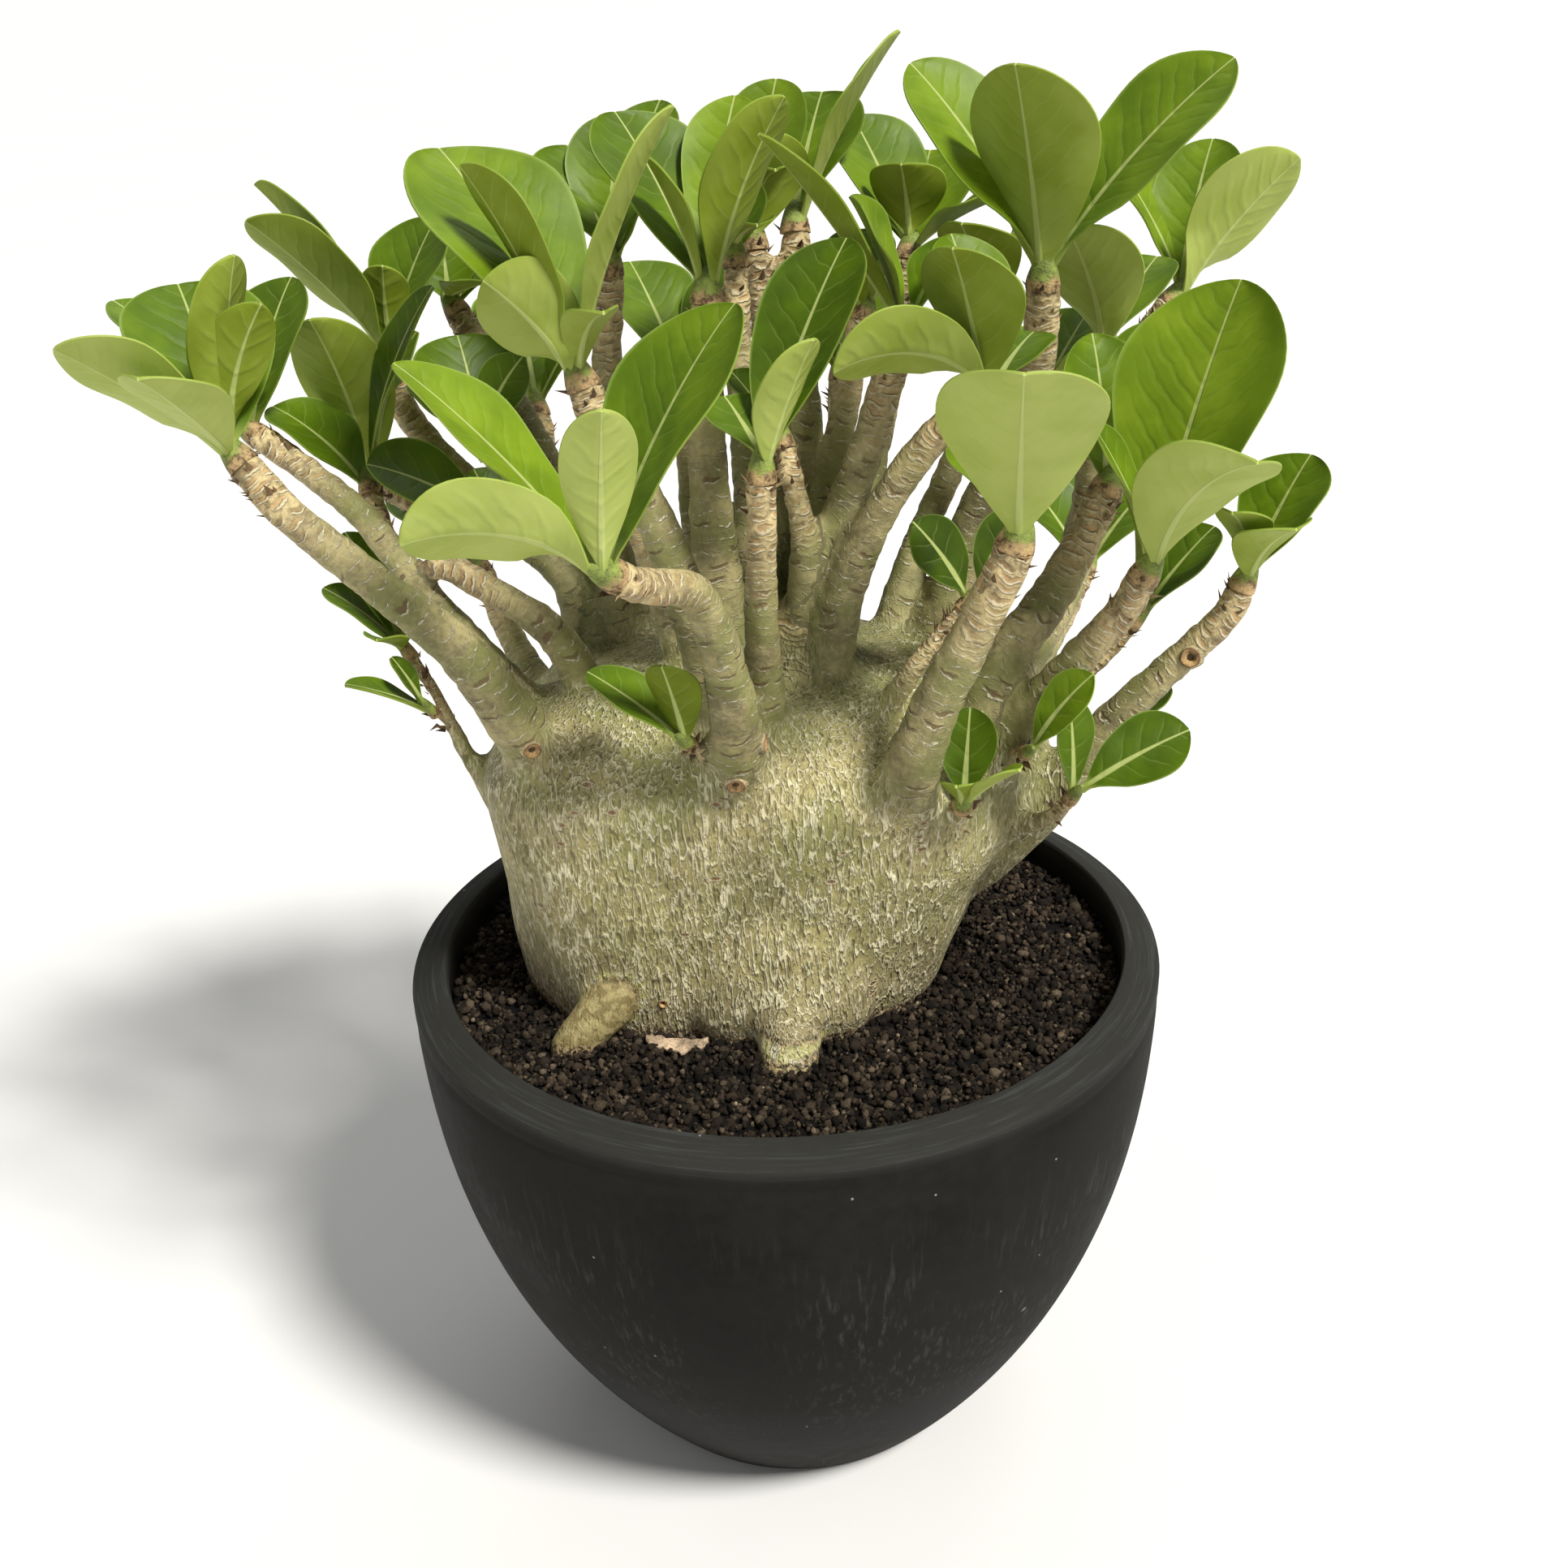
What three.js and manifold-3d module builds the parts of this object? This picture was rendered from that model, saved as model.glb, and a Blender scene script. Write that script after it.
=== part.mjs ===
// Potted desert rose: a bowl-shaped pot, its soil, a swollen stem with many branches, and a rosette
// of leaves at the end of each branch.
// Millimetres, +Z up, +X to the right and +Y to the back as the plant is looked at.
// Origin: the middle of the pot's foot, on the surface that it stands on.
import * as THREE from 'three';
import { mergeVertices } from 'three/addons/utils/BufferGeometryUtils.js';
import Module from 'manifold-3d';

const wasm = await Module();
wasm.setup();

// Driving dimensions of the pot
const POT_RADIUS = 120;
const POT_HEIGHT = 176;
const RIM_WIDTH = 11.5;
const RIM_FALL = 3;
const RIM_EDGE = 1.5;
const LIP_EDGE = 1;
const FOOT_RADIUS = 61;
const FOOT_EDGE = 2;
const WALL = 9;
const FLOOR = 10;
const FLOOR_ROUND = 4;
const BOWL_CURVE = 2.4;
const OUTER_STEPS = [0.012, 0.07, 0.17, 0.32, 0.53, 0.8];
const INNER_STEPS = [0.05, 0.16, 0.33, 0.57, 0.8];
const POT_SIDES = 36;
const DRAIN_HOLES = 4;
const DRAIN_RADIUS = 4.5;
const DRAIN_CIRCLE = 32;
const DRAIN_SIDES = 12;

// Driving dimensions of the soil
const SOIL_HEIGHT = 164;
const SOIL_MOUND = 2.5;
const SOIL_RELIEF = 1.2;
const SOIL_WAVES = [3, 2];
const SOIL_WAVE_SPANS = [9, 14];
const SOIL_SIDES = 24;
const SOIL_STEPS = [1, 0.87, 0.73, 0.58];

// The clear width between parts that rest against each other, and around the buried wood
const GAP = 0.3;
const HOLE_GAP = 0.4;

// Driving dimensions of the leaves
const RIB_THICKNESS = 1.6;
const RIB_THINNING = 0.6;
const EDGE_THICKNESS = 0.7;
const STALK_HALF_WIDTH = 1.2;
const STALK_TAPER = 0.4;
const FOLD = 0.2;
const TURN_END = 1 / 3;
const SMALLEST_BEND = 0.01;
const LEAF_STEPS = [0.1, 0.38, 0.66, 0.88];
const SMALL_LEAF_STEPS = [0.16, 0.5, 0.84];
const SMALL_LEAF = 43;
const BLADE_START = 0.45;
// A blade's outline, OUTLINE_FULLNESS * t ** OUTLINE_SLOPE * (1 - t ** OUTLINE_WIDEST) ** OUTLINE_END
const OUTLINE_FULLNESS = 2.15;
const OUTLINE_SLOPE = 0.95;
const OUTLINE_WIDEST = 2;
const OUTLINE_END = 0.65;
const BUD_HEIGHT = 8;
const BUD_DEPTH = 4;
const BUD_SIDES = 5;
const BUD_ROOT = 0.9;
const BUD_TIP = 0.45;
const STALK_INSET = 0.3;
const STALK_LOWEST = 0.25;
const STALK_SPREAD = 0.45;
const LEAF_CLEARANCE = 0.35;

// The swollen stem, level by level: height, middle in X and Y, half width, half depth
const STEM_LEVELS = [
  [150, -20, 1, 62, 42],
  [157, -19, 1, 67, 46],
  [166, -16, 2, 71, 49],
  [181, -13.5, 3, 76.5, 52],
  [202, -11, 3, 82, 55],
  [225, -5, 2, 91, 57],
  [243, -6, 0, 89, 57],
  [258, -6, 0, 76, 52],
  [270, -6, 0, 56, 40],
  [277, -4, 0, 30, 22],
];
const STEM_SIDES = 24;
const STEM_LOBES = 5;
const STEM_LOBE_DEPTH = 0.035;
const STEM_LOBE_TWIST = 40;
const STEM_SQUARENESS = 2.3;

// Surface roots at the foot of the swollen stem: route and the radii at its two ends
const ROOTS = [
  { route: [[-45, -33, 188], [-52, -42, 179], [-61, -46, 170], [-71, -49, 160]], radii: [8.2, 6.8] },
  { route: [[2, -34, 190], [1, -44, 178], [0, -55, 167], [0, -61, 155]], radii: [9, 10] },
];

// Branches, the nearest and plainest first. Each has a name, a route of points in mm, the radius at
// its root and at its end, and its leaves: heading (0 is +X, 90 is +Y), rise above level, length,
// width, bend and, where the blade is turned about its rib, the turn.
const BRANCHES = [];

function branch(name, route, radii, leaves = []) {
  BRANCHES.push({ name, route, radii, leaves });
}

branch('front_bent', [[-14, -30, 230], [-12, -46, 253], [-11, -61, 277], [-14, -73, 305], [-19, -82, 321],
  [-31, -93, 327], [-39, -102, 334]], [12, 4.6],
  [[35, 55, 68, 40, 15], [170, 48, 65, 32, 12], [285, 68, 45, 18, 10], [205, 18, 46, 28, 30, 55]]);
branch('front_right', [[30, -24, 215], [36, -41, 238], [38, -57, 263], [45, -63, 285], [53, -67, 304],
  [60, -69, 320], [63, -70, 330]], [13, 5.6],
  [[262, 53, 62, 40, 15], [140, 42, 26, 24, 15]]);
branch('round_leaf', [[-16, -26, 235], [-16, -35, 256], [-19, -41, 290], [-25, -43, 313], [-33, -42, 335],
  [-43, -39, 353], [-48, -37, 367]], [11, 5],
  [[190, 52, 33, 28, 15, 65], [295, 40, 29, 14, 35], [175, 66, 56, 24, 12, 40],
    [135, 47, 70, 48, 15], [350, 65, 67, 24, 10]]);
branch('centre_left', [[-11, -12, 230], [-12, -19, 257], [-14, -18, 287], [-16, -16, 315], [-16, -13, 350],
  [-14, -10, 383]], [14, 5],
  [[340, 66, 53, 26, 12, -20], [130, 50, 55, 36, 12], [200, 68, 35, 14, 10], [75, 52, 54, 22, 15]]);
branch('right_high', [[36, 0, 225], [44, 4, 254], [54, 12, 283], [61, 15, 305], [70, 11, 328], [77, 2, 355],
  [77, -6, 383]], [11.5, 5.2],
  [[235, 72, 57, 36, 10], [5, 47, 69, 34, 12, 25], [160, 53, 62, 32, 12, -25]]);
branch('right_arm', [[48, -18, 215], [61, -28, 242], [72, -36, 265], [85, -41, 284], [96, -44, 299],
  [102, -46, 312]], [12, 4.8],
  [[43, 65, 78, 48, 10], [295, 45, 52, 34, 30, -20], [160, 63, 39, 20, 12]]);
branch('far_left', [[-48, -4, 200], [-63, -16, 234], [-73, -35, 266], [-86, -46, 295], [-107, -50, 318],
  [-125, -50, 336], [-137, -47, 352]], [15.5, 4.8],
  [[210, 42, 49, 28, 10, 35], [258, 38, 44, 24, 10], [120, 54, 47, 38, 20], [340, 78, 48, 24, 12],
    [345, 66, 38, 17, 15, -45]]);
branch('front_straight', [[-6, -28, 240], [-3, -43, 271], [-3, -53, 299], [-2, -59, 324], [-1, -62, 348]],
  [9, 4.2],
  [[320, 65, 37, 20, 10], [50, 54, 60, 30, 12], [120, 33, 20, 20, 10]]);
branch('right_centre', [[14, -18, 262], [17, -25, 283], [24, -28, 310], [39, -32, 338], [59, -38, 359]],
  [7.5, 4.8],
  [[235, 66, 42, 28, 12], [205, 12, 46, 26, 35, 50], [130, 66, 40, 24, 10], [55, 24, 22, 20, 15]]);
branch('centre_back_b', [[0, 2, 250], [3, 11, 281], [2, 26, 322], [1, 38, 358], [-1, 46, 388]], [10, 4.2],
  [[260, 75, 32, 34, 15], [300, 57, 22, 18, 50], [70, 60, 45, 26, 12]]);
branch('centre', [[10, 0, 262], [12, 14, 289], [12, 30, 325], [11, 40, 357], [11, 50, 392]], [10, 5],
  [[345, 60, 59, 28, 10], [70, 55, 41, 34, 12]]);
branch('centre_right_b', [[6, -12, 262], [9, -18, 288], [16, -18, 310], [25, -18, 331], [39, -18, 373]],
  [9, 4.8],
  [[200, 53, 63, 20, 8], [150, 55, 34, 30, 12], [30, 58, 23, 20, 15]]);
branch('centre_right_c', [[14, 0, 258], [20, 8, 283], [28, 26, 308], [36, 42, 335], [46, 56, 382]],
  [8.5, 4.6],
  [[70, 48, 35, 36, 12], [335, 35, 32, 24, 15], [135, 45, 45, 34, 12], [235, 65, 23, 24, 20]]);
branch('right_back', [[46, 6, 215], [63, 12, 241], [81, 28, 261], [94, 40, 276], [102, 50, 295],
  [106, 58, 314], [117, 66, 341], [132, 70, 362]], [12.5, 4.8],
  [[350, 52, 53, 34, 12, -50], [60, 60, 50, 28, 15], [145, 57, 42, 28, 12]]);
branch('right_mid', [[42, -18, 225], [54, -28, 252], [65, -26, 276], [81, -18, 295], [92, -10, 312],
  [98, -6, 324]], [13, 5.6],
  [[110, 75, 42, 26, 15], [50, 58, 46, 26, 15]]);
branch('far_right', [[58, -2, 200], [78, -10, 221], [93, -18, 246], [108, -20, 264], [121, -22, 278],
  [131, -22, 289], [135, -22, 300]], [13, 4.4],
  [[290, 47, 28, 22, 30], [35, 54, 37, 28, 12], [235, 50, 27, 16, 30]]);
branch('left_inner', [[-54, -2, 230], [-68, -5, 252], [-83, -8, 272], [-104, -6, 302], [-118, -2, 321],
  [-139, 6, 337], [-150, 10, 344]], [9, 4.2],
  [[60, 58, 46, 28, 15], [145, 33, 60, 22, 15], [330, 50, 22, 16, 15]]);
branch('left_far', [[-56, 12, 232], [-62, 20, 258], [-60, 32, 275], [-64, 42, 289], [-78, 50, 302],
  [-94, 52, 313], [-115, 60, 338], [-117, 62, 356]], [10, 4.5],
  [[208, 50, 56, 32, 12, 25], [160, 52, 62, 24, 12, 45], [45, 58, 42, 36, 15], [290, 70, 26, 15, 10, -20],
    [95, 25, 36, 24, 15]]);
branch('left_centre', [[-26, 4, 235], [-34, 12, 250], [-44, 20, 274], [-48, 24, 306], [-47, 28, 345],
  [-43, 30, 385]], [11, 4.6],
  [[25, 60, 20, 18, 10], [80, 60, 43, 28, 15], [65, 48, 52, 24, 10], [120, 50, 35, 34, 15]]);
branch('centre_back_a', [[-6, -4, 250], [-4, 0, 274], [-5, 14, 315], [-7, 24, 354], [-7, 30, 386]], [10, 4.2],
  [[110, 60, 28, 26, 15], [290, 20, 20, 16, 20]]);
branch('left_top', [[-40, 2, 235], [-51, 12, 255], [-55, 28, 278], [-63, 44, 303], [-80, 64, 336],
  [-99, 78, 366]], [12, 4.6],
  [[55, 45, 28, 30, 15], [130, 52, 24, 26, 15], [310, 15, 26, 20, 10]]);
branch('left_high', [[-52, 10, 232], [-58, 16, 257], [-58, 28, 275], [-62, 36, 293], [-73, 42, 309],
  [-89, 44, 329]],
  [10, 4.5],
  [[115, 64, 35, 36, 20], [30, 55, 28, 16, 15, 50], [160, 40, 26, 24, 15]]);
branch('left_upright', [[-101, -6, 298], [-106, -5, 305], [-113, 3, 313], [-118, 14, 326]], [4.6, 4],
  [[160, 39, 45, 38, 20], [10, 65, 58, 22, 15, 15]]);
branch('left_back_arm', [[-52, 6, 236], [-59, 14, 256], [-60, 24, 274], [-66, 30, 290], [-78, 32, 300],
  [-93, 31, 306], [-111, 32, 315], [-123, 36, 321]], [8, 4],
  [[225, 70, 54, 30, 15, 20], [35, 60, 46, 26, 20]]);
branch('left_mid', [[-48, -8, 240], [-57, -13, 272], [-64, -14, 287], [-80, -12, 299], [-98, -8, 309]],
  [8.5, 4.5]);
branch('left_spur', [[-86, 29, 299], [-84, 24, 305], [-82, 20, 311]], [3.6, 3],
  [[195, 33, 42, 26, 15, -35], [135, 50, 16, 14, 10], [25, 50, 16, 13, 10]]);
branch('centre_spur', [[6, -14, 280], [9, -22, 305], [9, -24, 321], [4, -16, 344]], [6, 3.6],
  [[155, 52, 22, 20, 12], [60, 55, 22, 18, 15]]);
branch('centre_right_a', [[10, -6, 268], [12, -2, 295], [18, 8, 321], [24, 14, 346], [30, 18, 372]], [9, 4.2],
  [[230, 50, 16, 12, 10], [335, 60, 16, 14, 10], [95, 45, 22, 20, 15]]);
branch('right_thin', [[24, 0, 232], [30, 5, 252], [37, 16, 277], [46, 26, 297], [60, 37, 325],
  [71, 46, 365]], [7.5, 4.2],
  [[215, 65, 31, 28, 12], [330, 72, 26, 22, 12]]);
branch('right_inner', [[93, 43, 275], [97, 44, 287], [101, 38, 315], [103, 32, 355]], [5.4, 4],
  [[215, 65, 40, 32, 15, 20], [50, 36, 32, 24, 15]]);
branch('right_twig', [[72, -10, 244], [83, -14, 261], [95, -14, 272], [107, -14, 286]], [6.5, 3.4],
  [[180, 73, 34, 22, 12], [25, 43, 31, 24, 12]]);
branch('low_left', [[-84, 4, 216], [-91, 4, 226], [-96, 0, 243], [-103, 0, 263], [-112, 4, 278]], [5.5, 2.6],
  [[170, 40, 30, 18, 15], [240, 35, 16, 14, 15], [140, 58, 37, 18, 15], [40, 70, 25, 14, 15]]);
branch('low_left_bud', [[-100, 0, 252], [-103, -3, 257], [-105, -6, 262]], [2.6, 2],
  [[200, 28, 26, 14, 10], [165, 60, 16, 9, 10]]);
branch('front_sprout', [[-14, -40, 256], [-20, -52, 263], [-25, -63, 273]], [3.6, 2.6],
  [[265, 72, 30, 15, 10], [160, 33, 30, 20, 10]]);
branch('front_right_sprout', [[22, -24, 250], [27, -32, 262], [35, -34, 273], [45, -32, 286], [56, -32, 300]],
  [6.5, 2.6],
  [[180, 56, 27, 16, 10, -60], [20, 61, 24, 14, 10, 60]]);
branch('far_right_sprout', [[99, -17, 250], [103, -13, 250], [109, -9, 249]], [3.2, 2.4],
  [[30, 38, 16, 14, 12]]);
branch('low_right_bud', [[48, -40, 228], [51, -46, 238], [52, -53, 247]], [5.5, 3.4],
  [[75, 70, 26, 17, 8], [225, 43, 19, 14, 20], [310, 40, 24, 12, 10]]);
branch('right_edge_bud', [[72, -22, 222], [79, -36, 232], [82, -44, 240], [84, -49, 246]], [4.6, 2.6],
  [[125, 70, 29, 14, 8], [5, 28, 34, 20, 8, 45]]);
branch('right_small_bud', [[67, -32, 249], [69, -43, 255], [70, -52, 261]], [3.4, 2.4],
  [[355, 55, 28, 14, 12, 40]]);
branch('back_left', [[-34, 14, 220], [-46, 28, 240], [-60, 52, 260], [-70, 73, 286], [-77, 92, 330]],
  [12, 4.6],
  [[130, 40, 44, 30, 12], [30, 50, 40, 30, 12], [90, 40, 46, 34, 15], [200, 40, 36, 26, 12]]);
branch('back_middle', [[-12, 10, 225], [-16, 27, 246], [-21, 56, 268], [-25, 79, 294], [-28, 100, 338]],
  [12, 4.6],
  [[120, 45, 46, 34, 12], [30, 52, 42, 30, 15], [80, 35, 44, 34, 15]]);
branch('back_centre', [[12, 10, 225], [15, 27, 246], [19, 56, 268], [23, 79, 292], [26, 98, 337]], [12, 4.6],
  [[145, 55, 38, 28, 12], [50, 45, 44, 30, 12], [90, 35, 42, 34, 15]]);
branch('back_right', [[34, 12, 220], [46, 26, 238], [62, 51, 259], [78, 71, 280], [90, 88, 322]], [12, 4.6],
  [[145, 50, 40, 30, 12], [50, 40, 44, 30, 12], [85, 35, 42, 34, 15], [330, 40, 32, 24, 12]]);
branch('back_low_left', [[-44, 22, 200], [-60, 37, 217], [-76, 64, 230], [-92, 86, 247], [-104, 100, 272]],
  [11, 4.6],
  [[150, 35, 42, 30, 12], [80, 40, 40, 30, 12], [30, 45, 32, 26, 12]]);
branch('back_low_right', [[46, 20, 198], [62, 33, 215], [80, 57, 228], [96, 77, 243], [112, 94, 266]],
  [11, 4.6],
  [[135, 45, 38, 28, 12], [35, 38, 42, 30, 12], [85, 30, 40, 30, 12]]);
branch('back_low', [[0, 28, 200], [0, 44, 214], [1, 68, 222], [-1, 90, 235], [-3, 106, 258]], [11, 4.6],
  [[145, 42, 42, 30, 12], [35, 38, 42, 28, 12], [90, 30, 40, 32, 12]]);
// The short stout trunk that carries the middle branches
branch('trunk', [[2, -8, 215], [6, -14, 245], [8, -16, 270], [11, -13, 292]], [30, 12]);
branch('shade_left', [[-20, -10, 240], [-24, -14, 268], [-32, -12, 300], [-40, -6, 330]], [10, 4.6]);
branch('shade_right', [[30, 4, 240], [48, 14, 272], [62, 22, 300], [70, 26, 318]], [10, 5]);

const ARM_SIDES = 8;
const ARM_RADIUS = 13.5;
const BRANCH_SIDES = 6;
const BRANCH_STEP = 33;
const TWIG_RADIUS = 5;
const TWIG_STEP = 10;
const ROOT_SIDES = 10;
const ROOT_STEP = 7;
const BRANCH_TAPER = 1.9;

// Ways that a leaf may turn, lift and shorten on its stalk to stay clear of what grew before it
const LEAF_TURNS = [
  [0, 0, 1], [7, 0, 1], [-7, 0, 1], [0, 7, 1], [0, -7, 1], [14, 4, 1], [-14, 4, 1], [14, -6, 1], [-14, -6, 1],
  [0, 14, 1], [22, 0, 1], [-22, 0, 1], [22, 12, 1], [-22, 12, 1], [0, 0, 0.8], [12, 8, 0.8], [-12, 8, 0.8],
  [30, 0, 0.8], [-30, 0, 0.8], [30, 18, 0.8], [-30, 18, 0.8], [45, 10, 0.75], [-45, 10, 0.75],
  [0, 25, 0.7], [60, 20, 0.7], [-60, 20, 0.7],
];

const MERGE_DISTANCE = 1e-4;
const degrees = THREE.MathUtils.degToRad;

// Solids from geometries and back

function solidOf(geometry) {
  const bare = geometry.clone();
  bare.deleteAttribute('normal');
  bare.deleteAttribute('uv');
  const merged = mergeVertices(bare, MERGE_DISTANCE);
  const vertProperties = new Float32Array(merged.attributes.position.array);
  const triVerts = new Uint32Array(merged.index.array);
  return new wasm.Manifold(new wasm.Mesh({ numProp: 3, vertProperties, triVerts }));
}

function geometryOf(solid) {
  const mesh = solid.getMesh();
  const geometry = new THREE.BufferGeometry();
  geometry.setAttribute('position', new THREE.BufferAttribute(new Float32Array(mesh.vertProperties), 3));
  geometry.setIndex(new THREE.BufferAttribute(new Uint32Array(mesh.triVerts), 1));
  geometry.computeVertexNormals();
  return geometry;
}

function geometryFrom(points, triangles) {
  const geometry = new THREE.BufferGeometry();
  const numbers = points.flatMap((p) => [p.x, p.y, p.z]);
  geometry.setAttribute('position', new THREE.Float32BufferAttribute(numbers, 3));
  geometry.setIndex(triangles.flat());
  return geometry;
}

// A closed skin over rings that run counterclockwise about the way from the first to the last
function loft(rings) {
  const sides = rings[0].length;
  const last = (rings.length - 1) * sides;
  const triangles = [];
  for (let i = 0; i < rings.length - 1; i += 1) {
    for (let j = 0; j < sides; j += 1) {
      const a = i * sides + j;
      const b = i * sides + (j + 1) % sides;
      triangles.push([a, b, b + sides], [a, b + sides, a + sides]);
    }
  }
  for (let j = 1; j < sides - 1; j += 1) {
    triangles.push([0, j + 1, j], [last, last + j, last + j + 1]);
  }
  return geometryFrom(rings.flat(), triangles);
}

// The smooth curve through a route's points. A leafy branch's wood stops short of the last point,
// which lies in the middle of its bud
function curveOf(route, short = 0) {
  const points = route.map(([x, y, z]) => new THREE.Vector3(x, y, z));
  const last = points[points.length - 1];
  const way = last.clone().sub(points[points.length - 2]).normalize();
  last.addScaledVector(way, -short);
  return new THREE.CatmullRomCurve3(points, false, 'centripetal');
}

function branchCurve({ route, leaves }) {
  return curveOf(route, leaves.length > 0 ? BUD_DEPTH : 0);
}

// A round, tapering stem along a route
function stem(curve, [rootRadius, endRadius], sides, step) {
  const steps = Math.max(2, Math.round(curve.getLength() / step));
  const frames = curve.computeFrenetFrames(steps, false);
  // The flat-sided section has the area of the round one
  const fullness = Math.sqrt((2 * Math.PI) / (sides * Math.sin((2 * Math.PI) / sides)));
  const rings = [];
  for (let i = 0; i <= steps; i += 1) {
    const t = i / steps;
    const middle = curve.getPointAt(t);
    const radius = fullness * (endRadius + (rootRadius - endRadius) * (1 - t) ** BRANCH_TAPER);
    const ring = [];
    for (let j = 0; j < sides; j += 1) {
      const angle = (j / sides) * 2 * Math.PI;
      const point = middle.clone();
      point.addScaledVector(frames.normals[i], radius * Math.cos(angle));
      point.addScaledVector(frames.binormals[i], radius * Math.sin(angle));
      ring.push(point);
    }
    rings.push(ring);
  }
  return loft(rings);
}

// The swollen stem's outline at one level, a rounded box with shallow lobes, grown by a margin
function stemRing([height, middleX, middleY, halfWidth, halfDepth], margin) {
  const ring = [];
  for (let j = 0; j < STEM_SIDES; j += 1) {
    const angle = (j / STEM_SIDES) * 2 * Math.PI;
    const power = 2 / STEM_SQUARENESS;
    const across = Math.sign(Math.cos(angle)) * Math.abs(Math.cos(angle)) ** power;
    const deep = Math.sign(Math.sin(angle)) * Math.abs(Math.sin(angle)) ** power;
    const wave = Math.cos(STEM_LOBES * angle + height / STEM_LOBE_TWIST);
    const lobe = 1 - STEM_LOBE_DEPTH * (1 - wave);
    ring.push(new THREE.Vector3(
      middleX + (halfWidth + margin) * lobe * across,
      middleY + (halfDepth + margin) * lobe * deep,
      height,
    ));
  }
  return ring;
}

function swollenStem(margin = 0) {
  const levels = STEM_LEVELS.map((level, i) => (i === 0 ? [level[0] - margin, ...level.slice(1)] : level));
  return loft(levels.map((level) => stemRing(level, margin)));
}

// A leaf's half width at a share of its length: a narrow stalk, widest towards the round end
function halfWidth(t, width) {
  const outline = OUTLINE_FULLNESS * t ** OUTLINE_SLOPE * (1 - t ** OUTLINE_WIDEST) ** OUTLINE_END;
  return Math.max(STALK_HALF_WIDTH * (1 - STALK_TAPER * t), (width / 2) * outline);
}

// A point on a leaf's upper side, from its foot (t = 0) to its end (t = 1) and from its left edge
// (s = 1) over its rib (s = 0) to its right edge (s = -1), with the way that its face looks
function leafPoint(foot, [heading, rise, length, width, bend, turn = 0], t, s, spread = 0) {
  const yaw = degrees(heading);
  const arc = Math.max(degrees(bend), SMALLEST_BEND);
  const start = degrees(rise) + arc;
  const slope = start - 2 * arc * t;
  const reach = length / (2 * Math.sin(arc));
  const out = reach * (Math.sin(start) - Math.sin(slope));
  const lift = reach * (Math.cos(slope) - Math.cos(start));
  const level = new THREE.Vector3(Math.cos(yaw), Math.sin(yaw), 0);
  const along = level.clone().multiplyScalar(Math.cos(slope)).setZ(Math.sin(slope));
  const left = new THREE.Vector3(-level.y, level.x, 0);
  const up = along.clone().cross(left);
  const twist = degrees(turn) * Math.min(1, t / TURN_END);
  left.applyAxisAngle(along, twist);
  up.applyAxisAngle(along, twist);
  const half = halfWidth(t, width) + spread;
  const point = foot.clone().add(level.multiplyScalar(out).setZ(lift));
  point.addScaledVector(left, half * s);
  point.addScaledVector(up, half * FOLD * s * s);
  return { point, up };
}

// One closed leaf: a point at its foot, rings of six points, three on the upper side and three on
// the lower side, and a blunt end of two
function leaf(foot, shape, spread = 0, from = 0) {
  const steps = (shape[2] < SMALL_LEAF ? SMALL_LEAF_STEPS : LEAF_STEPS).filter((t) => t > from);
  const points = [];
  const place = (t, s, side) => {
    const { point, up } = leafPoint(foot, shape, t, s, spread);
    const rib = RIB_THICKNESS - RIB_THINNING * t;
    const thickness = (s === 0 ? rib : EDGE_THICKNESS) + 2 * spread;
    points.push(point.addScaledVector(up, side > 0 ? spread : spread - thickness));
  };
  for (const t of steps) {
    [1, 0, -1].forEach((s) => place(t, s, 1));
    [-1, 0, 1].forEach((s) => place(t, s, -1));
  }
  const top = points.length;
  const bottom = top + 1;
  const root = top + 2;
  place(1, 0, 1);
  place(1, 0, -1);
  points.push(leafPoint(foot, shape, from, 0).point);
  const triangles = [];
  const split = (a, b, c, d, other) => {
    triangles.push(...(other ? [[a, b, d], [b, c, d]] : [[a, b, c], [a, c, d]]));
  };
  for (let i = 0; i < steps.length - 1; i += 1) {
    for (let j = 0; j < 6; j += 1) {
      const a = i * 6 + j;
      const b = i * 6 + (j + 1) % 6;
      split(a, b, b + 6, a + 6, j === 3 || j === 4);
    }
  }
  for (let j = 0; j < 6; j += 1) {
    triangles.push([root, (j + 1) % 6, j]);
  }
  const ring = (steps.length - 1) * 6;
  triangles.push([ring, ring + 1, top], [ring + 1, ring + 2, top]);
  triangles.push([ring + 2, ring + 3, bottom], [ring + 2, bottom, top]);
  triangles.push([ring + 3, ring + 4, bottom], [ring + 4, ring + 5, bottom]);
  triangles.push([ring + 5, ring, top], [ring + 5, top, bottom]);
  return geometryFrom(points, triangles);
}

// The green bud that ends a branch and holds its leaves' stalks
function bud(end, way, radius) {
  const frame = new THREE.Quaternion().setFromUnitVectors(new THREE.Vector3(0, 0, 1), way);
  const rings = [[0, BUD_ROOT], [1, BUD_TIP]].map(([height, share]) => {
    const ring = [];
    for (let j = 0; j < BUD_SIDES; j += 1) {
      const angle = (j / BUD_SIDES) * 2 * Math.PI;
      const spot = new THREE.Vector3(radius * share * Math.cos(angle), radius * share * Math.sin(angle),
        GAP + BUD_HEIGHT * height);
      ring.push(spot.applyQuaternion(frame).add(end));
    }
    return ring;
  });
  return loft(rings);
}

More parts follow.
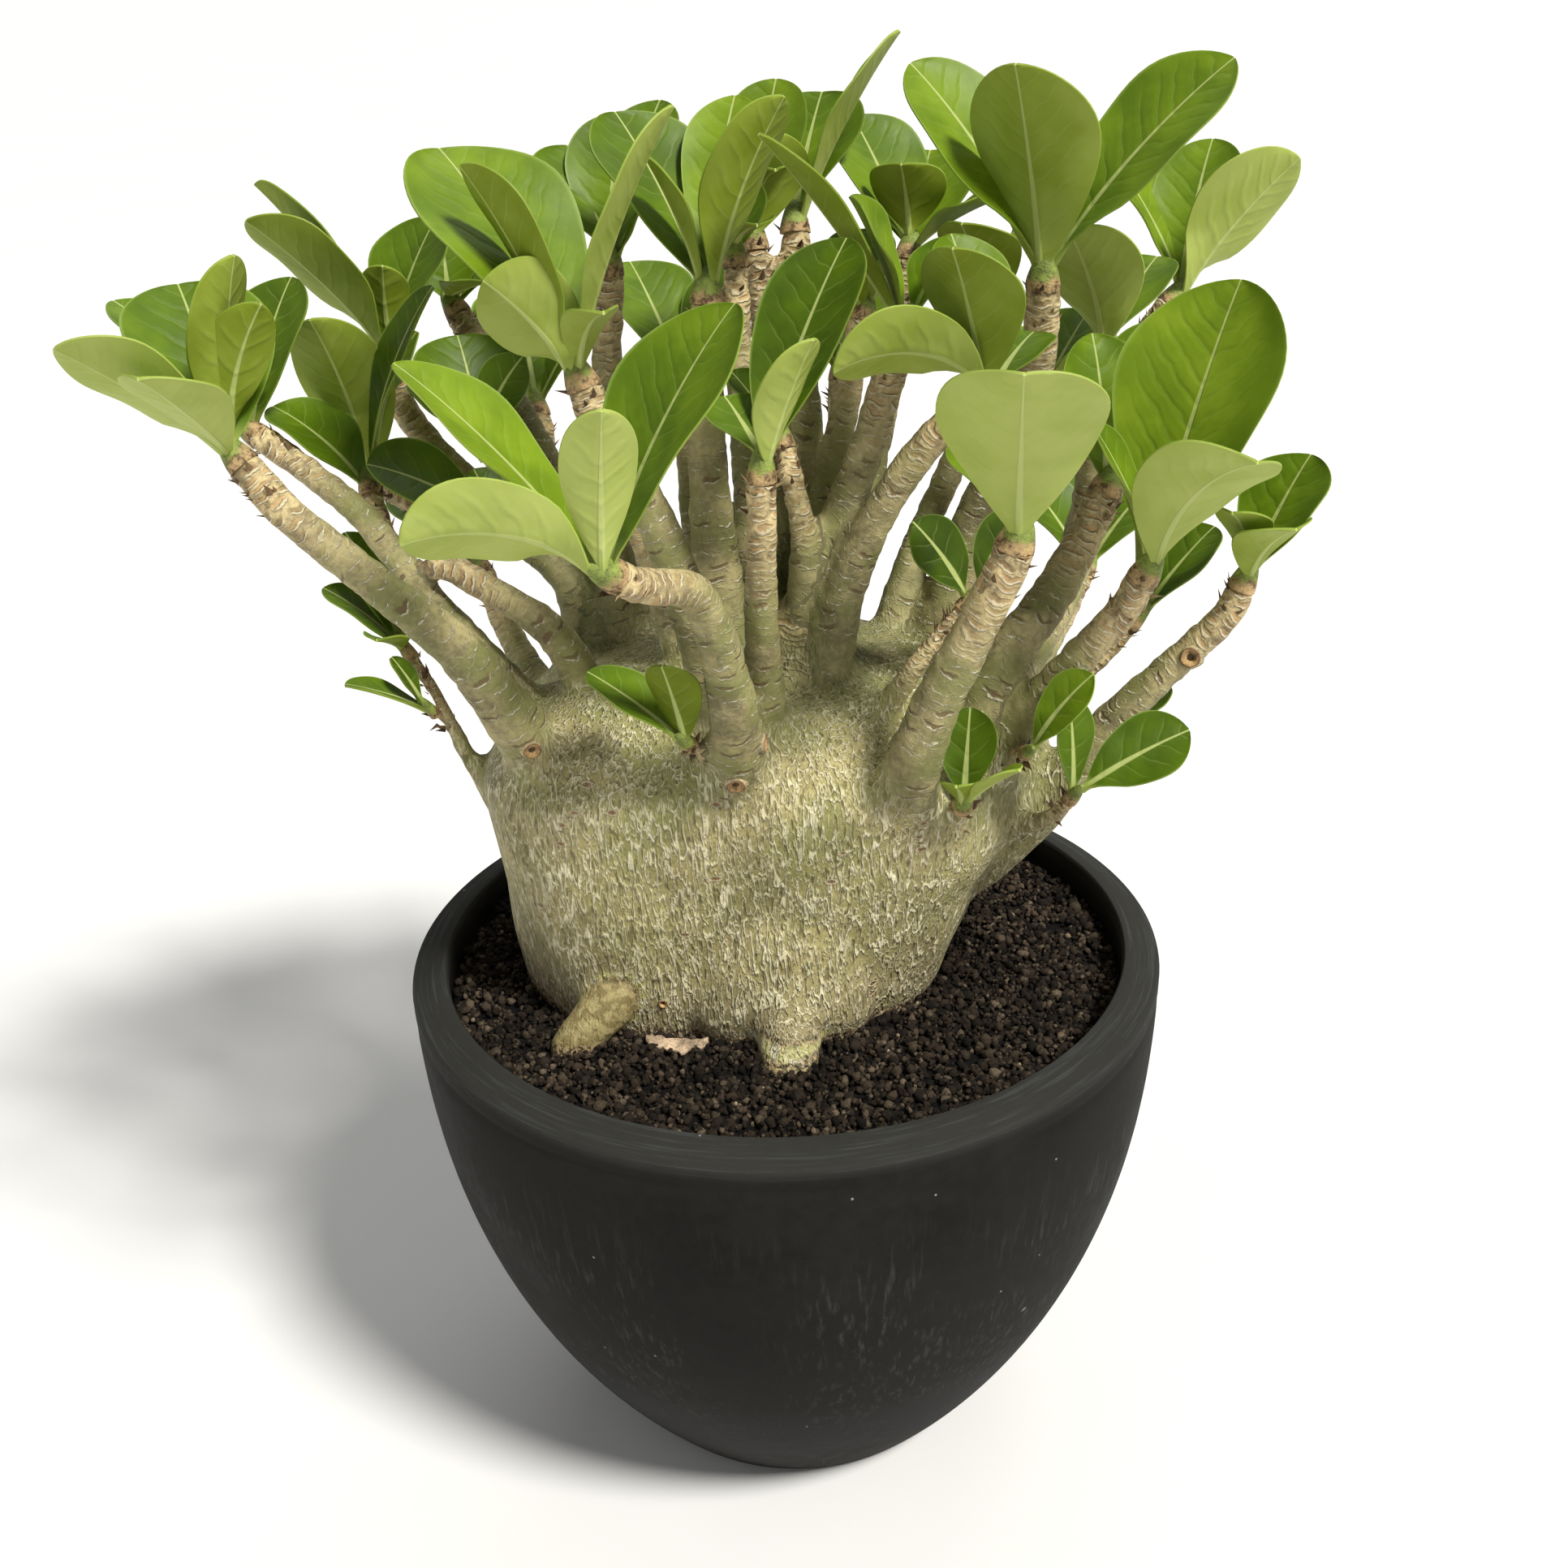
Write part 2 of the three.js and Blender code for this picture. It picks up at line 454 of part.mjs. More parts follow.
// Where a leaf's stalk starts: inside the bud's skin on the leaf's side, the first leaf the lowest
function stalkFoot(end, way, radius, heading, index, count) {
  const height = GAP + BUD_HEIGHT * (STALK_LOWEST + STALK_SPREAD * (count > 1 ? index / (count - 1) : 0));
  const outward = new THREE.Vector3(Math.cos(degrees(heading)), Math.sin(degrees(heading)), 0);
  outward.addScaledVector(way, -outward.dot(way));
  return end.clone().addScaledVector(way, height).addScaledVector(outward, STALK_INSET * radius);
}

// Boxes that meet, then solids that meet
function boxesMeet(a, b) {
  return [0, 1, 2].every((axis) => a.min[axis] < b.max[axis] && b.min[axis] < a.max[axis]);
}

function crosses(solid, others) {
  const box = solid.boundingBox();
  return others.some((other) => boxesMeet(box, other.box) && !solid.intersect(other.solid).isEmpty());
}

function boxed(solid) {
  return { solid, box: solid.boundingBox() };
}

// The leaf as it grew: turned by the first of the turns that leaves it clear of other shoots, and its
// blade clear of the leaves beside it, or else grown together with those
function clearLeaf(name, foot, shape, others, siblings) {
  const [heading, rise, length, width, ...rest] = shape;
  const turns = LEAF_TURNS.map(([turn, lift, share]) => (
    [heading + turn, rise + lift, length * share, width * share, ...rest]
  ));
  const guard = (turned, from) => solidOf(leaf(foot, turned, LEAF_CLEARANCE, from));
  const free = turns.filter((turned) => !crosses(guard(turned, 0), others));
  const apart = free.find((turned) => !crosses(guard(turned, BLADE_START), siblings));
  if (free.length > 0) {
    return solidOf(leaf(foot, apart ?? free[0]));
  }
  throw new Error(`no room for a leaf of ${name}: ${shape}`);
}

// The pot

function bowlRadius(height) {
  return FOOT_RADIUS + (POT_RADIUS - FOOT_RADIUS) * (1 - (1 - height / POT_HEIGHT) ** BOWL_CURVE);
}

function lathe(profile, sides) {
  const points = profile.map(([radius, height]) => new THREE.Vector2(radius, height));
  return new THREE.LatheGeometry(points, sides).rotateX(Math.PI / 2);
}

// The bowl's inner side from its floor to a height, with a margin kept to it
function innerProfile(top, margin) {
  const profile = [[0, FLOOR + margin], [bowlRadius(FLOOR) - WALL - FLOOR_ROUND - margin, FLOOR + margin]];
  for (const share of INNER_STEPS) {
    const height = FLOOR + (POT_HEIGHT - FLOOR) * share;
    profile.push([Math.min(bowlRadius(height) - WALL, POT_RADIUS - RIM_WIDTH) - margin, height + margin]);
  }
  profile.push([POT_RADIUS - RIM_WIDTH - margin, top]);
  return profile;
}

function pot() {
  const outer = [[0, 0], [FOOT_RADIUS - FOOT_EDGE, 0]];
  for (const share of OUTER_STEPS) {
    outer.push([bowlRadius(POT_HEIGHT * share), POT_HEIGHT * share]);
  }
  outer.push([POT_RADIUS, POT_HEIGHT - RIM_FALL - RIM_EDGE], [POT_RADIUS - RIM_EDGE, POT_HEIGHT - RIM_FALL]);
  outer.push([POT_RADIUS - RIM_WIDTH + LIP_EDGE, POT_HEIGHT]);
  const inner = innerProfile(POT_HEIGHT - LIP_EDGE, 0).reverse();
  let bowl = solidOf(lathe([...outer, ...inner], POT_SIDES));
  for (let i = 0; i < DRAIN_HOLES; i += 1) {
    const angle = ((i + 0.5) / DRAIN_HOLES) * 2 * Math.PI;
    const drill = new THREE.CylinderGeometry(DRAIN_RADIUS, DRAIN_RADIUS, 3 * FLOOR, DRAIN_SIDES);
    drill.rotateX(Math.PI / 2);
    drill.translate(DRAIN_CIRCLE * Math.cos(angle), DRAIN_CIRCLE * Math.sin(angle), 0);
    bowl = bowl.subtract(solidOf(drill));
  }
  return bowl;
}

// The soil fills the pot to just below its rim, a little higher by the stem
function soilHeight(radius, angle) {
  const mound = SOIL_MOUND * (1 - radius / POT_RADIUS);
  const across = Math.sin(SOIL_WAVES[0] * angle + radius / SOIL_WAVE_SPANS[0]);
  const along = Math.cos(SOIL_WAVES[1] * angle + radius / SOIL_WAVE_SPANS[1]);
  return SOIL_HEIGHT + mound + SOIL_RELIEF * across * along;
}

function soil(roots) {
  const profile = innerProfile(SOIL_HEIGHT, GAP).slice(1, -1);
  const rim = POT_RADIUS - RIM_WIDTH - GAP;
  const circle = (radius, height) => {
    const ring = [];
    for (let j = 0; j < SOIL_SIDES; j += 1) {
      const angle = (j / SOIL_SIDES) * 2 * Math.PI;
      const z = height ?? soilHeight(radius, angle);
      ring.push(new THREE.Vector3(radius * Math.cos(angle), radius * Math.sin(angle), z));
    }
    return ring;
  };
  // Its many-sided outline stays inside the pot's flats
  const inside = Math.cos(Math.PI / POT_SIDES);
  const rings = profile.map(([radius, height]) => circle(radius * inside, height));
  for (const share of SOIL_STEPS) {
    rings.push(circle(rim * inside * share));
  }
  return roots.reduce((whole, root) => whole.subtract(root), solidOf(loft(rings)));
}

// Wood: the swollen stem, its surface roots and all branches, grown together
const woodPieces = [solidOf(swollenStem())];
for (const { route, radii } of ROOTS) {
  woodPieces.push(solidOf(stem(curveOf(route), radii, ROOT_SIDES, ROOT_STEP)));
}
for (const one of BRANCHES) {
  const sides = one.radii[0] > ARM_RADIUS ? ARM_SIDES : BRANCH_SIDES;
  const step = one.radii[0] > TWIG_RADIUS ? BRANCH_STEP : TWIG_STEP;
  woodPieces.push(solidOf(stem(branchCurve(one), one.radii, sides, step)));
}
const wood = woodPieces.reduce((whole, piece) => whole.add(piece));

// What the soil leaves free: the buried part of the wood, a little larger
const buried = [solidOf(swollenStem(HOLE_GAP))];
for (const { route, radii } of ROOTS) {
  const hole = radii.map((radius) => radius + HOLE_GAP);
  buried.push(solidOf(stem(curveOf(route), hole, ROOT_SIDES, ROOT_STEP)));
}

// Leaves: one rosette for each branch, clear of the wood and of the rosettes before it
const grown = woodPieces.map(boxed);
const rosettes = [];
for (const one of BRANCHES.filter(({ leaves }) => leaves.length > 0)) {
  const { name, radii, leaves } = one;
  const curve = branchCurve(one);
  const end = curve.getPointAt(1);
  const way = curve.getTangentAt(1);
  const middle = solidOf(bud(end, way, radii[1]));
  const pieces = [];
  leaves.forEach((shape, i) => {
    const foot = stalkFoot(end, way, radii[1], shape[0], i, leaves.length);
    pieces.push(clearLeaf(name, foot, shape, grown, pieces.map(boxed)));
  });
  rosettes.push({ name, solid: pieces.reduce((whole, piece) => whole.add(piece), middle) });
  grown.push(...[middle, ...pieces].map(boxed));
}

// The model

const object = new THREE.Group();

function add(name, solid, color, roughness) {
  const material = new THREE.MeshStandardMaterial({ color, roughness, metalness: 0 });
  const mesh = new THREE.Mesh(geometryOf(solid), material);
  mesh.name = name;
  object.add(mesh);
}

add('pot', pot(), 0x2b2d2f, 0.7);
add('soil', soil(buried), 0x2a211b, 1);
add('wood', wood, 0x8c8f6c, 0.8);
for (const { name, solid } of rosettes) {
  add(`leaves_${name}`, solid, 0x3f7d2a, 0.45);
}

export default object;
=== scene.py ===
# Potted desert rose: looks for the pot, the soil, the bark and the leaves. Sizes are in mm, and MM turns
# them into metres where a mesh is made. Only the camera's place and the floor are given in metres.
import math
import random

import bpy
import numpy as np
from mathutils import Matrix, Vector, noise
from mathutils.bvhtree import BVHTree


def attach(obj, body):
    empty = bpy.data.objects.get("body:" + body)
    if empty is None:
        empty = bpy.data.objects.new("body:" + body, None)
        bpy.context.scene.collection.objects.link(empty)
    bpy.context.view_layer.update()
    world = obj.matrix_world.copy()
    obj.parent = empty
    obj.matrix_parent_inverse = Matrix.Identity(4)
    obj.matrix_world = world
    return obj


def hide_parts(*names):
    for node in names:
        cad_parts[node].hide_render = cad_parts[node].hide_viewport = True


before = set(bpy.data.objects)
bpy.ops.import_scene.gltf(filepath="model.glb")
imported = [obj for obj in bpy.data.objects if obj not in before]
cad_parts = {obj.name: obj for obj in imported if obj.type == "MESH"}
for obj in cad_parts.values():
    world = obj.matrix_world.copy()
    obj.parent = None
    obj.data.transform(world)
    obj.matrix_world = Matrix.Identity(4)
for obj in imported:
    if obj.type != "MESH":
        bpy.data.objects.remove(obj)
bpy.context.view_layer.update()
MM = 0.001
random.seed(7)
numbers = np.random.default_rng(7)

# Pot
POT_RADIUS = 120
POT_HEIGHT = 176
RIM_WIDTH = 11.5
RIM_FALL = 3
RIM_EDGE = 1.5
RIM_GROOVE = 0.5
RIM_GROOVE_DROP = 7
FOOT_RADIUS = 61
FOOT_EDGE = 2
WALL = 9
FLOOR = 10
FLOOR_ROUND = 4
BOWL_CURVE = 2.4
DRAIN_RADIUS = 4.5
DRAIN_CIRCLE = 32
DRAIN_HOLES = 4

# Soil
SOIL_HEIGHT = 164
SOIL_MOUND = 2.5
SOIL_RELIEF = 1.2
SOIL_WAVES = (3, 2)
SOIL_WAVE_SPANS = (9, 14)
GRAINS = 9800
GRAIN_SIZE = (0.8, 2.0)
FINE_GRAINS = 9000
FINE_SIZE = (0.5, 1.1)

# Leaves and buds
RIB_THICKNESS = 1.6
RIB_THINNING = 0.6
EDGE_THICKNESS = 0.5
STALK_HALF_WIDTH = 1.2
STALK_TAPER = 0.4
FOLD = 0.2
TURN_END = 1 / 3
SMALLEST_BEND = 0.01
OUTLINE_FULLNESS = 2.15
OUTLINE_SLOPE = 0.95
OUTLINE_WIDEST = 2
OUTLINE_END = 0.65
EDGE_WAVE = 0.05
SMALL_LEAF = 43
BUD_HEIGHT = 8
BUD_DEPTH = 4
STALK_INSET = 0.3
STALK_LOWEST = 0.25
STALK_SPREAD = 0.45
GAP = 0.3

# The ways in which a leaf may have turned, lifted and shortened to stay clear of its neighbours
LEAF_TURNS = [
    (0, 0, 1), (7, 0, 1), (-7, 0, 1), (0, 7, 1), (0, -7, 1), (14, 4, 1), (-14, 4, 1), (14, -6, 1),
    (-14, -6, 1), (0, 14, 1), (22, 0, 1), (-22, 0, 1), (22, 12, 1), (-22, 12, 1), (0, 0, 0.8),
    (12, 8, 0.8), (-12, 8, 0.8), (30, 0, 0.8), (-30, 0, 0.8), (30, 18, 0.8), (-30, 18, 0.8),
    (45, 10, 0.75), (-45, 10, 0.75), (0, 25, 0.7), (60, 20, 0.7), (-60, 20, 0.7),
]

# The swollen stem, level by level: height, middle in X and Y, half width, half depth
STEM_LEVELS = [
    (150, -20, 1, 62, 42), (157, -19, 1, 67, 46), (166, -16, 2, 71, 49), (181, -13.5, 3, 76.5, 52),
    (202, -11, 3, 82, 55), (225, -5, 2, 91, 57), (243, -6, 0, 89, 57), (258, -6, 0, 76, 52),
    (270, -6, 0, 56, 40), (277, -4, 0, 30, 22),
]
STEM_LOBES = 5
STEM_LOBE_DEPTH = 0.035
STEM_LOBE_TWIST = 40
STEM_SQUARENESS = 2.3
BRANCH_TAPER = 1.9

# Surface roots: route and the radii at their two ends
ROOTS = [
    ([(-45, -33, 188), (-52, -42, 179), (-61, -46, 170), (-71, -49, 160)], (8.2, 6.8)),
    ([(2, -34, 190), (1, -44, 178), (0, -55, 167), (0, -61, 155)], (9, 10)),
]

# Branches: name, route, radii at the two ends, and leaves (heading, rise, length, width, bend, turn)
BRANCHES = [
    ("front_bent", [(-14, -30, 230), (-12, -46, 253), (-11, -61, 277), (-14, -73, 305), (-19, -82, 321),
     (-31, -93, 327), (-39, -102, 334)], (12, 4.6), [(35, 55, 68, 40, 15), (170, 48, 65, 32, 12),
     (285, 68, 45, 18, 10), (205, 18, 46, 28, 30, 55)]),
    ("front_right", [(30, -24, 215), (36, -41, 238), (38, -57, 263), (45, -63, 285), (53, -67, 304),
     (60, -69, 320), (63, -70, 330)], (13, 5.6), [(262, 53, 62, 40, 15), (140, 42, 26, 24, 15)]),
    ("round_leaf", [(-16, -26, 235), (-16, -35, 256), (-19, -41, 290), (-25, -43, 313), (-33, -42, 335),
     (-43, -39, 353), (-48, -37, 367)], (11, 5), [(190, 52, 33, 28, 15, 65), (295, 40, 29, 14, 35),
     (175, 66, 56, 24, 12, 40), (135, 47, 70, 48, 15), (350, 65, 67, 24, 10)]),
    ("centre_left", [(-11, -12, 230), (-12, -19, 257), (-14, -18, 287), (-16, -16, 315), (-16, -13, 350),
     (-14, -10, 383)], (14, 5), [(340, 66, 53, 26, 12, -20), (130, 50, 55, 36, 12), (200, 68, 35, 14, 10),
     (75, 52, 54, 22, 15)]),
    ("right_high", [(36, 0, 225), (44, 4, 254), (54, 12, 283), (61, 15, 305), (70, 11, 328), (77, 2, 355),
     (77, -6, 383)], (11.5, 5.2), [(235, 72, 57, 36, 10), (5, 47, 69, 34, 12, 25),
     (160, 53, 62, 32, 12, -25)]),
    ("right_arm", [(48, -18, 215), (61, -28, 242), (72, -36, 265), (85, -41, 284), (96, -44, 299),
     (102, -46, 312)], (12, 4.8), [(43, 65, 78, 48, 10), (295, 45, 52, 34, 30, -20),
     (160, 63, 39, 20, 12)]),
    ("far_left", [(-48, -4, 200), (-63, -16, 234), (-73, -35, 266), (-86, -46, 295), (-107, -50, 318),
     (-125, -50, 336), (-137, -47, 352)], (15.5, 4.8), [(210, 42, 49, 28, 10, 35), (258, 38, 44, 24, 10),
     (120, 54, 47, 38, 20), (340, 78, 48, 24, 12), (345, 66, 38, 17, 15, -45)]),
    ("front_straight", [(-6, -28, 240), (-3, -43, 271), (-3, -53, 299), (-2, -59, 324), (-1, -62, 348)],
     (9, 4.2), [(320, 65, 37, 20, 10), (50, 54, 60, 30, 12), (120, 33, 20, 20, 10)]),
    ("right_centre", [(14, -18, 262), (17, -25, 283), (24, -28, 310), (39, -32, 338), (59, -38, 359)],
     (7.5, 4.8), [(235, 66, 42, 28, 12), (205, 12, 46, 26, 35, 50), (130, 66, 40, 24, 10),
     (55, 24, 22, 20, 15)]),
    ("centre_back_b", [(0, 2, 250), (3, 11, 281), (2, 26, 322), (1, 38, 358), (-1, 46, 388)], (10, 4.2),
     [(260, 75, 32, 34, 15), (300, 57, 22, 18, 50), (70, 60, 45, 26, 12)]),
    ("centre", [(10, 0, 262), (12, 14, 289), (12, 30, 325), (11, 40, 357), (11, 50, 392)], (10, 5),
     [(345, 60, 59, 28, 10), (70, 55, 41, 34, 12)]),
    ("centre_right_b", [(6, -12, 262), (9, -18, 288), (16, -18, 310), (25, -18, 331), (39, -18, 373)],
     (9, 4.8), [(200, 53, 63, 20, 8), (150, 55, 34, 30, 12), (30, 58, 23, 20, 15)]),
    ("centre_right_c", [(14, 0, 258), (20, 8, 283), (28, 26, 308), (36, 42, 335), (46, 56, 382)],
     (8.5, 4.6), [(70, 48, 35, 36, 12), (335, 35, 32, 24, 15), (135, 45, 45, 34, 12),
     (235, 65, 23, 24, 20)]),
    ("right_back", [(46, 6, 215), (63, 12, 241), (81, 28, 261), (94, 40, 276), (102, 50, 295),
     (106, 58, 314), (117, 66, 341), (132, 70, 362)], (12.5, 4.8), [(350, 52, 53, 34, 12, -50),
     (60, 60, 50, 28, 15), (145, 57, 42, 28, 12)]),
    ("right_mid", [(42, -18, 225), (54, -28, 252), (65, -26, 276), (81, -18, 295), (92, -10, 312),
     (98, -6, 324)], (13, 5.6), [(110, 75, 42, 26, 15), (50, 58, 46, 26, 15)]),
    ("far_right", [(58, -2, 200), (78, -10, 221), (93, -18, 246), (108, -20, 264), (121, -22, 278),
     (131, -22, 289), (135, -22, 300)], (13, 4.4), [(290, 47, 28, 22, 30), (35, 54, 37, 28, 12),
     (235, 50, 27, 16, 30)]),
    ("left_inner", [(-54, -2, 230), (-68, -5, 252), (-83, -8, 272), (-104, -6, 302), (-118, -2, 321),
     (-139, 6, 337), (-150, 10, 344)], (9, 4.2), [(60, 58, 46, 28, 15), (145, 33, 60, 22, 15),
     (330, 50, 22, 16, 15)]),
    ("left_far", [(-56, 12, 232), (-62, 20, 258), (-60, 32, 275), (-64, 42, 289), (-78, 50, 302),
     (-94, 52, 313), (-115, 60, 338), (-117, 62, 356)], (10, 4.5), [(208, 50, 56, 32, 12, 25),
     (160, 52, 62, 24, 12, 45), (45, 58, 42, 36, 15), (290, 70, 26, 15, 10, -20), (95, 25, 36, 24, 15)]),
    ("left_centre", [(-26, 4, 235), (-34, 12, 250), (-44, 20, 274), (-48, 24, 306), (-47, 28, 345),
     (-43, 30, 385)], (11, 4.6), [(25, 60, 20, 18, 10), (80, 60, 43, 28, 15), (65, 48, 52, 24, 10),
     (120, 50, 35, 34, 15)]),
    ("centre_back_a", [(-6, -4, 250), (-4, 0, 274), (-5, 14, 315), (-7, 24, 354), (-7, 30, 386)], (10, 4.2),
     [(110, 60, 28, 26, 15), (290, 20, 20, 16, 20)]),
    ("left_top", [(-40, 2, 235), (-51, 12, 255), (-55, 28, 278), (-63, 44, 303), (-80, 64, 336),
     (-99, 78, 366)], (12, 4.6), [(55, 45, 28, 30, 15), (130, 52, 24, 26, 15), (310, 15, 26, 20, 10)]),
    ("left_high", [(-52, 10, 232), (-58, 16, 257), (-58, 28, 275), (-62, 36, 293), (-73, 42, 309),
     (-89, 44, 329)], (10, 4.5), [(115, 64, 35, 36, 20), (30, 55, 28, 16, 15, 50), (160, 40, 26, 24, 15)]),
    ("left_upright", [(-101, -6, 298), (-106, -5, 305), (-113, 3, 313), (-118, 14, 326)], (4.6, 4),
     [(160, 39, 45, 38, 20), (10, 65, 58, 22, 15, 15)]),
    ("left_back_arm", [(-52, 6, 236), (-59, 14, 256), (-60, 24, 274), (-66, 30, 290), (-78, 32, 300),
     (-93, 31, 306), (-111, 32, 315), (-123, 36, 321)], (8, 4), [(225, 70, 54, 30, 15, 20),
     (35, 60, 46, 26, 20)]),
    ("left_mid", [(-48, -8, 240), (-57, -13, 272), (-64, -14, 287), (-80, -12, 299), (-98, -8, 309)],
     (8.5, 4.5), []),
    ("left_spur", [(-86, 29, 299), (-84, 24, 305), (-82, 20, 311)], (3.6, 3), [(195, 33, 42, 26, 15, -35),
     (135, 50, 16, 14, 10), (25, 50, 16, 13, 10)]),
    ("centre_spur", [(6, -14, 280), (9, -22, 305), (9, -24, 321), (4, -16, 344)], (6, 3.6),
     [(155, 52, 22, 20, 12), (60, 55, 22, 18, 15)]),
    ("centre_right_a", [(10, -6, 268), (12, -2, 295), (18, 8, 321), (24, 14, 346), (30, 18, 372)], (9, 4.2),
     [(230, 50, 16, 12, 10), (335, 60, 16, 14, 10), (95, 45, 22, 20, 15)]),
    ("right_thin", [(24, 0, 232), (30, 5, 252), (37, 16, 277), (46, 26, 297), (60, 37, 325), (71, 46, 365)],
     (7.5, 4.2), [(215, 65, 31, 28, 12), (330, 72, 26, 22, 12)]),
    ("right_inner", [(93, 43, 275), (97, 44, 287), (101, 38, 315), (103, 32, 355)], (5.4, 4),
     [(215, 65, 40, 32, 15, 20), (50, 36, 32, 24, 15)]),
    ("right_twig", [(72, -10, 244), (83, -14, 261), (95, -14, 272), (107, -14, 286)], (6.5, 3.4),
     [(180, 73, 34, 22, 12), (25, 43, 31, 24, 12)]),
    ("low_left", [(-84, 4, 216), (-91, 4, 226), (-96, 0, 243), (-103, 0, 263), (-112, 4, 278)], (5.5, 2.6),
     [(170, 40, 30, 18, 15), (240, 35, 16, 14, 15), (140, 58, 37, 18, 15), (40, 70, 25, 14, 15)]),
    ("low_left_bud", [(-100, 0, 252), (-103, -3, 257), (-105, -6, 262)], (2.6, 2), [(200, 28, 26, 14, 10),
     (165, 60, 16, 9, 10)]),
    ("front_sprout", [(-14, -40, 256), (-20, -52, 263), (-25, -63, 273)], (3.6, 2.6),
     [(265, 72, 30, 15, 10), (160, 33, 30, 20, 10)]),
    ("front_right_sprout", [(22, -24, 250), (27, -32, 262), (35, -34, 273), (45, -32, 286), (56, -32, 300)],
     (6.5, 2.6), [(180, 56, 27, 16, 10, -60), (20, 61, 24, 14, 10, 60)]),
    ("far_right_sprout", [(99, -17, 250), (103, -13, 250), (109, -9, 249)], (3.2, 2.4),
     [(30, 38, 16, 14, 12)]),
    ("low_right_bud", [(48, -40, 228), (51, -46, 238), (52, -53, 247)], (5.5, 3.4), [(75, 70, 26, 17, 8),
     (225, 43, 19, 14, 20), (310, 40, 24, 12, 10)]),
    ("right_edge_bud", [(72, -22, 222), (79, -36, 232), (82, -44, 240), (84, -49, 246)], (4.6, 2.6),
     [(125, 70, 29, 14, 8), (5, 28, 34, 20, 8, 45)]),
    ("right_small_bud", [(67, -32, 249), (69, -43, 255), (70, -52, 261)], (3.4, 2.4),
     [(355, 55, 28, 14, 12, 40)]),
    ("back_left", [(-34, 14, 220), (-46, 28, 240), (-60, 52, 260), (-70, 73, 286), (-77, 92, 330)],
     (12, 4.6), [(130, 40, 44, 30, 12), (30, 50, 40, 30, 12), (90, 40, 46, 34, 15), (200, 40, 36, 26, 12)]),
    ("back_middle", [(-12, 10, 225), (-16, 27, 246), (-21, 56, 268), (-25, 79, 294), (-28, 100, 338)],
     (12, 4.6), [(120, 45, 46, 34, 12), (30, 52, 42, 30, 15), (80, 35, 44, 34, 15)]),
    ("back_centre", [(12, 10, 225), (15, 27, 246), (19, 56, 268), (23, 79, 292), (26, 98, 337)], (12, 4.6),
     [(145, 55, 38, 28, 12), (50, 45, 44, 30, 12), (90, 35, 42, 34, 15)]),
    ("back_right", [(34, 12, 220), (46, 26, 238), (62, 51, 259), (78, 71, 280), (90, 88, 322)], (12, 4.6),
     [(145, 50, 40, 30, 12), (50, 40, 44, 30, 12), (85, 35, 42, 34, 15), (330, 40, 32, 24, 12)]),
    ("back_low_left", [(-44, 22, 200), (-60, 37, 217), (-76, 64, 230), (-92, 86, 247), (-104, 100, 272)],
     (11, 4.6), [(150, 35, 42, 30, 12), (80, 40, 40, 30, 12), (30, 45, 32, 26, 12)]),
    ("back_low_right", [(46, 20, 198), (62, 33, 215), (80, 57, 228), (96, 77, 243), (112, 94, 266)],
     (11, 4.6), [(135, 45, 38, 28, 12), (35, 38, 42, 30, 12), (85, 30, 40, 30, 12)]),
    ("back_low", [(0, 28, 200), (0, 44, 214), (1, 68, 222), (-1, 90, 235), (-3, 106, 258)], (11, 4.6),
     [(145, 42, 42, 30, 12), (35, 38, 42, 28, 12), (90, 30, 40, 32, 12)]),
    ("trunk", [(2, -8, 215), (6, -14, 245), (8, -16, 270), (11, -13, 292)], (30, 12), []),
    ("shade_left", [(-20, -10, 240), (-24, -14, 268), (-32, -12, 300), (-40, -6, 330)], (10, 4.6), []),
    ("shade_right", [(30, 4, 240), (48, 14, 272), (62, 22, 300), (70, 26, 318)], (10, 5), []),
]

# How bright and yellow leaves are, where they differ from the rest (0 dark green, 1 pale and bright):
# one value for a whole rosette, or one for each leaf in turn
LEAF_TONE = 0.38
LEAF_TONES = {
    "front_bent": (0.5, 0.7, 1.0, 0.9), "front_right": (0.95, 0.5), "round_leaf": (0.74, 0.7, 0.42, 0.6, 0.8),
    "centre_left": (0.42, 0.4, 0.5, 0.7), "right_high": (0.62, 0.55, 0.62), "right_arm": (0.74, 0.9, 0.5),
    "far_left": (0.92, 0.95, 0.45, 0.5, 0.4), "front_straight": (0.85, 0.28, 0.4),
    "right_centre": (0.5, 0.72, 0.55, 0.4), "centre_back_b": 0.5, "centre": (0.8, 0.45),
    "centre_right_b": (0.42, 0.6, 0.5), "centre_right_c": (0.6, 0.4, 0.5, 0.3),
    "right_back": (0.84, 0.6, 0.62), "right_mid": (0.55, 0.6), "far_right": (0.62, 0.5, 0.6),
    "left_far": (0.42, 0.36, 0.42, 0.45, 0.3),
    "left_top": 0.34, "left_high": 0.3, "left_upright": (0.42, 0.24), "left_back_arm": (0.55, 0.4),
    "left_spur": (0.3, 0.3, 0.3), "right_inner": (0.8, 0.5), "front_sprout": (0.06, 0.42), "low_left": 0.3,
    "front_right_sprout": 0.14, "low_right_bud": (0.3, 0.45, 0.75), "right_edge_bud": (0.3, 0.3),
    "right_small_bud": 0.5,
}

# Scars on the skin: round cut ones as (place, radius), and small pores strewn over the stem
CUT_SCARS = [
    ((-70.7, -38, 262.8), 2.6), ((-2.2, -58, 268.6), 2.6), ((-11.6, -57, 257), 2.8), ((118, -34, 277), 2.9),
    ((-37.2, -46, 178.6), 1.3),
]
STUB_RISE = 1.0
STUB_SIDES = 20
